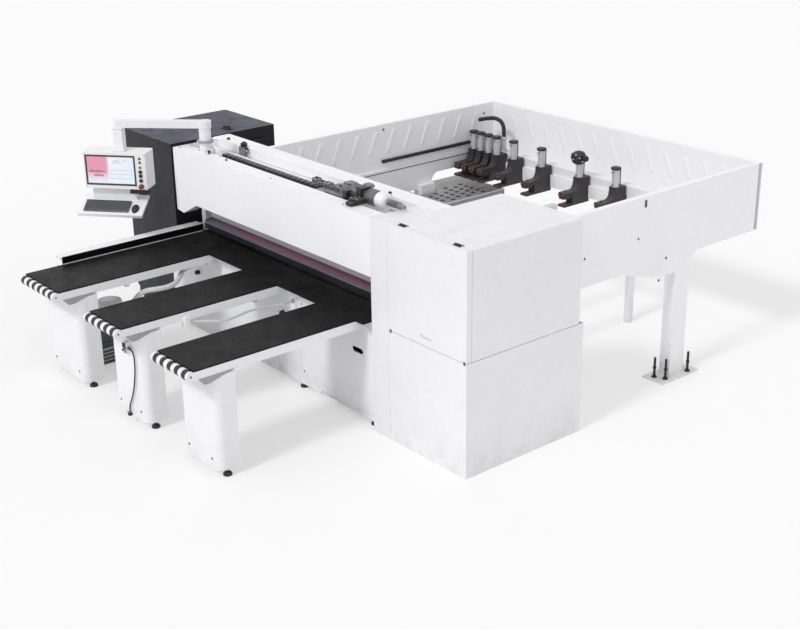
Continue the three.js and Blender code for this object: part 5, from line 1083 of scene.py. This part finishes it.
def cabinet_latches():
    latches = [slab((x, x + 20), (-3.5, 0), (926, 954), 1.2) for x in (-872, -30)]
    finished("cabinet_latches", latches, SHADOW_GREY, "door")
    cup = pocket(slab((-506, -378), (5, 12), (1003, 1027), 2), FRONT, 4, 4)
    finished("door_grip_cup", cup, WHITE, "door")
    # The dark grey strip along the split between the upper and lower casing is a painted shadow of the gap
    # there.
    finished("casing_split_painted_shadow", slab((-884, -1), (2, 49), (939, 941.4), 0.3, 1), SHADOW_GREY)


def wall_bolts():
    """Dark screw heads and small slots on the walls of the rear frame, and a painted shadow line along the
    left wall's ledge.
    """
    heads = bolts([(-3540, 2120, 1690), (-3540, 3480, 1640)], 9, 6, RIGHT)
    heads += bolts([(-180, 2053, 1396), (-180, 1416, 1373)], 8, 4, RIGHT)
    heads += bolts([(-120, 2266, 1002), (-120, 2345, 1181)], 9, 5, RIGHT)
    heads.append(slab((-180.4, -177), (2108, 2136), (1650, 1712), 1.5))
    finished("wall_screw_heads", heads, SHADOW_GREY, slot="black_plastic")
    # The thin dark strip along the left wall's ledge is a painted shadow line at the ledge.
    strip = slab((-3540.4, -3539.78), (700, 3330), (1245, 1255), 0.1, 1)
    finished("wall_ledge_painted_shadow", strip, SHADOW_GREY, slot="black_plastic")


def wall_reliefs():
    """Pressed slanting ribs on the inner faces of the walls."""
    rib = local_slab((-30, 30), (-6, 0.2), (-130, 130), 0)
    soften(tapered(rib, FRONT, (0.35, 1, 0.86), Vector((0, -0.006, 0))), 2, 2, 20)
    places = [(0, -21, (x, 3614.8, 1530)) for x in range(-3200, -300, 225)]
    places += [(90, 21, (-3539.8, y, 1560)) for y in range(860, 3500, 225)]
    ribs = [leaned(leaned(copied(rib), (0, slant, 0)), (0, 0, wall), spot(*place))
            for wall, slant, place in places]
    bpy.data.objects.remove(rib, do_unlink=True)
    finished("wall_pressed_ribs", ribs, LIGHTENED_WHITE, smooth=60)


def plate_studs():
    stud = [(26, 14), (26, 18), (17, 18), (17, 34), (11, 34), (11, 60), (12.5, 60), (12.5, 64), (11, 64),
            (11, 96), (16, 96), (16, 112), (11, 112), (11, 150), (12.5, 150), (12.5, 154), (11, 154),
            (11, 196), (8, 200)]
    places = [(-268, 2471, 0), (-177, 2510, 0), (-160, 2787, 0), (-273, 2789, 0),
              (-3600, 2471, 0), (-3487, 2510, 0), (-3487, 2787, 0), (-3600, 2789, 0)]
    finished("base_plate_studs", lathes(stud, places, sides=12), BLACK_PLASTIC)


# Rear: grippers, pusher and tables

GRIPPERS_X = (-3459.95, -3356.15, -3239.15, -3117.15, -2871.25, -2477.15, -1965.05, -1505.05)
CYLINDER_Y = 3267.7


def gripper_cylinders():
    sleeve = [(37, 0), (37, 8), (34.6, 10), (34.6, 154), (37, 156), (37, 166)]
    cap, rod = [(47, 0), (49, 3), (49, 16), (44, 22), (26, 24)], [(5, 0), (5, 158)]
    fitting = [(9, 0), (9, 10), (7, 12), (7, 22)]
    sleeves, caps, fittings = [], [], []
    for x in GRIPPERS_X:
        sleeves.append(lathed(sleeve, (x, CYLINDER_Y, 1317.6)))
        caps.append(lathed(cap, (x, CYLINDER_Y, 1484), UP, 28, 0.8))
        caps += lathes(rod, [(x - 33, CYLINDER_Y + 27, 1322), (x + 33, CYLINDER_Y + 27, 1322)], sides=10)
        fittings += lathes(fitting, [(x, CYLINDER_Y - 37, z) for z in (1462, 1340)], FRONT, 6, 0.5)
    finished("gripper_cylinder_sleeves", sleeves, CYLINDER_STEEL, "pusher")
    finished("gripper_cylinder_caps", caps, BLACK_PLASTIC, "pusher")
    finished("gripper_air_fittings", fittings, STEEL, "pusher")


def gripper_faces():
    for index, x in enumerate(GRIPPERS_X):
        face = slab((x - 30, x + 30), (3021.6, 3028.6), (1141, 1158))
        finished(f"jaw_front_{index + 1}", face, JAW_RED, f"jaw_{index + 1}")
    plates, screws = [], []
    for x in GRIPPERS_X:
        plates.append(pocket(slab((x - 40, x + 40), (3021.6, 3028), (1164, 1198), 2), FRONT, 6, 1.5))
        plates.append(slab((x - 40, x + 40), (3021.6, 3028), (1064, 1084), 2))
        screws += bolts([(x + s, 3021.6, 1181) for s in (-24, 24)], 4.5, 4, FRONT)
    finished("gripper_red_faces", plates, JAW_RED, "pusher")
    finished("gripper_face_bolts", screws, STEEL, "pusher")


def gripper_manifold():
    """The cluster of black valves around the top of the seventh gripper's cylinder."""
    x, y = GRIPPERS_X[6], CYLINDER_Y
    ball = [(46, 0), (62, 14), (72, 40), (73, 70), (62, 98), (44, 116), (20, 124)]
    parts = [lathed(ball, (x - 14, y, 1446), UP, 32, 1)]
    for degrees, reach, height, radius in ((205, 84, 1500, 22), (250, 82, 1530, 24), (300, 84, 1490, 22),
                                           (345, 82, 1524, 20), (90, 78, 1505, 22)):
        turn = math.radians(degrees)
        valve = [(radius, 0), (radius, reach - 14), (radius - 4, reach - 8)]
        parts.append(lathed(valve, (x - 14, y, height), (math.cos(turn), math.sin(turn), 0.1), 18, 0.8))
    bulb = [(14, 0), (28, 10), (30, 30), (24, 48), (10, 56)]
    parts.append(lathed(bulb, (x + 92, y - 20, 1490), UP, 24, 0.8))
    parts.append(lathed([(9, 0), (9, 90)], (x + 10, y - 10, 1512), (1, -0.1, 0.05), 12))
    finished("gripper_valve_cluster", parts, CAST_BLACK, "pusher")
    fittings = []
    for degrees, height in ((215, 1508), (240, 1540), (268, 1498), (290, 1548), (318, 1516), (340, 1480)):
        across, along = math.cos(math.radians(degrees)), math.sin(math.radians(degrees))
        place = (x - 14 + 68 * across, y + 68 * along, height)
        fittings.append(lathed([(7, 0), (7, 14), (5, 16)], place, (across, along, 0.15), 10))
    finished("valve_cluster_fittings", fittings, CYLINDER_STEEL, "pusher")


def bank_covers():
    covers = []
    for before, after in zip(GRIPPERS_X, GRIPPERS_X[1:]):
        span = (before + 42.6, after - 42.6)
        covers += [slab(span, (3358, 3363.2), (1094, 1222)), slab(span, (3358, 3391), (1219, 1223))]
    finished("gripper_bank_covers", covers, LIGHTENED_WHITE, "pusher")


def pusher_hose():
    """The dark hose that stands on the pusher beside the grippers, bent over towards the wall."""
    points = [spot(*place) for place in (
        (-3190, 3440, 1446), (-3192, 3440, 1500), (-3204, 3440, 1566), (-3240, 3438, 1612),
        (-3310, 3430, 1632), (-3395, 3410, 1622), (-3455, 3392, 1608), (-3500, 3378, 1594))]
    line = even_line(smooth_route(points, 300), 0.006)[0]
    finished("pusher_dark_hose", hose_mesh("pusher_hose", line, 0.022, 18, 0.0024, 3), RUBBER, "pusher", 70)
    foot = [(40, 0), (40, 10), (27, 14), (27, 120), (31, 124), (31, 146), (24, 150)]
    fitting = lathed(foot, (-3190, 3440, 1310.6), UP, 28, 0.8)
    finished("pusher_hose_fitting", fitting, CYLINDER_STEEL, "pusher")


def deck_casters():
    """Staggered ball casters of the rear support table, cups with balls, and the table's light edge."""
    place = (-3492, 712, TABLE_TOP)
    cup = pocket(lathed([(28, 0), (28, 1.6), (24, 3)], place, sides=16), UP, 6, 2.4)
    ball = lathed([(16, 1), (16.5, 4), (12.5, 7.5), (5, 9.5)], place, sides=12)
    shifts = [(column * 88 + (0 if row % 2 else 44), row * 104, 0)
              for row in range(24) for column in range(5 if row % 2 else 4) if row or column]
    beside_leg = [shift for shift in shifts if shift[0] < 80 and 1780 < shift[1] < 2100]
    clear = [shift for shift in shifts if shift not in beside_leg]
    finished("deck_caster_cups", repeated(cup, clear), NOZZLE_BLACK)
    finished("deck_caster_balls", repeated(ball, clear), CHAIN_BAR, slot="machined_steel")
    finished("deck_light_edge", slab((-3069.8, -3067.4), (664, 3336), (943, 949.4), 0.5, 1), LIGHTENED_WHITE)


def rail_caps():
    caps = [slab((x + 1, x + 69), (3337, 3341), (870, 946)) for x in (-2380, -1860, -1340)]
    finished("support_rail_caps", caps, BLACK_PLASTIC)


# Electric cabinet and saw unit

def electric_parts():
    foot = slab((-4500, -4360), (830, 900), (1750.4, 1758), 2)
    gland = lathed([(30, 0), (30, 6), (24, 10), (24, 26), (17, 30)], (-4404, 866, 1758), UP, 24, 1)
    second = lathed([(22, 0), (22, 6), (17, 9), (17, 20)], (-4462, 862, 1758), UP, 24, 1)
    finished("electric_roof_glands", [foot, gland, second], BLACK_PLASTIC)
    panel = pocket(slab((-4252, -4248.4), (420, 1240), (900, 1640), 1.5), RIGHT, 24, 1.2)
    louvres = [slab((-4251, -4246.5), (900, 1180), (260 + k * 26, 270 + k * 26), 2) for k in range(8)]
    finished("electric_side_panel", [panel, *louvres], CHARCOAL)
    pins = lathes([(9, 0), (9, 90), (7, 94)], [(-5164.5, 1311, z) for z in (260, 880, 1500)], UP, 16, 0.6)
    finished("electric_hinge_pins", pins, STEEL)


def saw_parts():
    """Fins, screws and nuts of the saw unit behind the door."""
    fin = [(92, 0), (99, 2), (99, 6), (92, 8)]
    fins = lathes(fin, [(-455, 372 + k * 17, 712) for k in range(6)], REAR, 32)
    cowl = lathed([(92, 0), (96, 3), (96, 22), (70, 26)], (-455, 500, 712), REAR, 32, 1)
    finished("saw_motor_fins", [*fins, cowl], CAST_GREY, "lift")
    plate = bolts([(x, 315, z) for x in (-800, -690, -330, -270) for z in (470, 730)], 8, 7, FRONT)
    finished("lift_plate_bolts", plate, STEEL, "lift")
    blocks = bolts([(x, y, 378.3) for x in (-840, -790, -290, -240) for y in (85, 616)], 7, 6)
    finished("carriage_bolts", blocks, STEEL, "saw")
    main_nut = lathed([(22, 0), (22, 10), (19, 12)], (-455, 252, 712), FRONT, 6, 0.6)
    finished("blade_arbor_nut", main_nut, STEEL, "blade")
    score_nut = lathed([(14, 0), (14, 7), (12, 9)], (-755, 252, 774), FRONT, 6, 0.5)
    finished("scorer_arbor_nut", score_nut, STEEL, "scorer")


for build in (console_screen, console_buttons, console_keys, console_mouse, console_fittings,
              console_arm_fittings, beam_knobs, chain_links, aligner_link, aligner_mast,
              aligner_motor_parts, aligner_guide_parts, pressure_strips, table_nozzles, fence_parts,
              machine_feet, leg_parts, base_parts, blower_parts, cabinet_hinges, cabinet_latches,
              wall_bolts, wall_reliefs, plate_studs, gripper_cylinders, gripper_faces, gripper_manifold,
              bank_covers, pusher_hose, deck_casters, rail_caps, electric_parts, saw_parts):
    build()


# Floor and light

bpy.context.scene.view_settings.view_transform = "Standard"


def seen_directly(tree):
    """1 for what the camera sees, also mirrored or through glass, and 0 for what only lights the machine."""
    path = add(tree, "LightPath").outputs
    seen = maths(tree, "MAXIMUM", path["Is Camera Ray"], path["Is Glossy Ray"])
    return maths(tree, "MAXIMUM", seen, path["Is Transmission Ray"])


def set_stage():
    bpy.ops.mesh.primitive_plane_add(size=80.0, location=(0, 0, -0.0005))
    floor = bpy.context.object
    floor.name = "studio_floor"
    material = bpy.data.materials.new("pale_studio_floor")
    material.use_nodes = True
    tree = material.node_tree
    shader = fill(tree, tree.nodes["Principled BSDF"],
                  {"Base Color": (0.96, 0.96, 0.965, 1.0), "Roughness": 0.9, "Specular IOR Level": 0.1})
    glow = add(tree, "Emission", {"Color": (1.0, 1.0, 1.0, 1.0), "Strength": 1.0})
    share = maths(tree, "MULTIPLY", seen_directly(tree), 0.42)
    mixed = add(tree, "MixShader", {0: share, 1: shader.outputs[0], 2: glow.outputs[0]})
    fill(tree, tree.nodes["Material Output"], {"Surface": mixed.outputs[0]})
    floor.data.materials.append(material)


def set_world():
    world = bpy.data.worlds.new("white_studio")
    bpy.context.scene.world = world
    world.use_nodes = True
    tree = world.node_tree
    strength = mapped(tree, seen_directly(tree), 0.0, 1.0, 0.7, 1.0)
    fill(tree, tree.nodes["Background"], {"Color": (1.0, 1.0, 1.0, 1.0), "Strength": strength})


def sun_light(name, direction, strength, degrees):
    """A wide soft sun that shines along a direction."""
    data = bpy.data.lights.new(name, "SUN")
    data.energy = strength
    data.angle = math.radians(degrees)
    lamp = bpy.data.objects.new(name, data)
    bpy.context.scene.collection.objects.link(lamp)
    lamp.location = Vector(direction) * -6.0
    lamp.rotation_mode = "QUATERNION"
    lamp.rotation_quaternion = Vector(direction).to_track_quat("-Z", "Y")


set_stage()
set_world()
sun_light("key_sun", (-0.06, 0.70, -0.71), 1.22, 11.0)
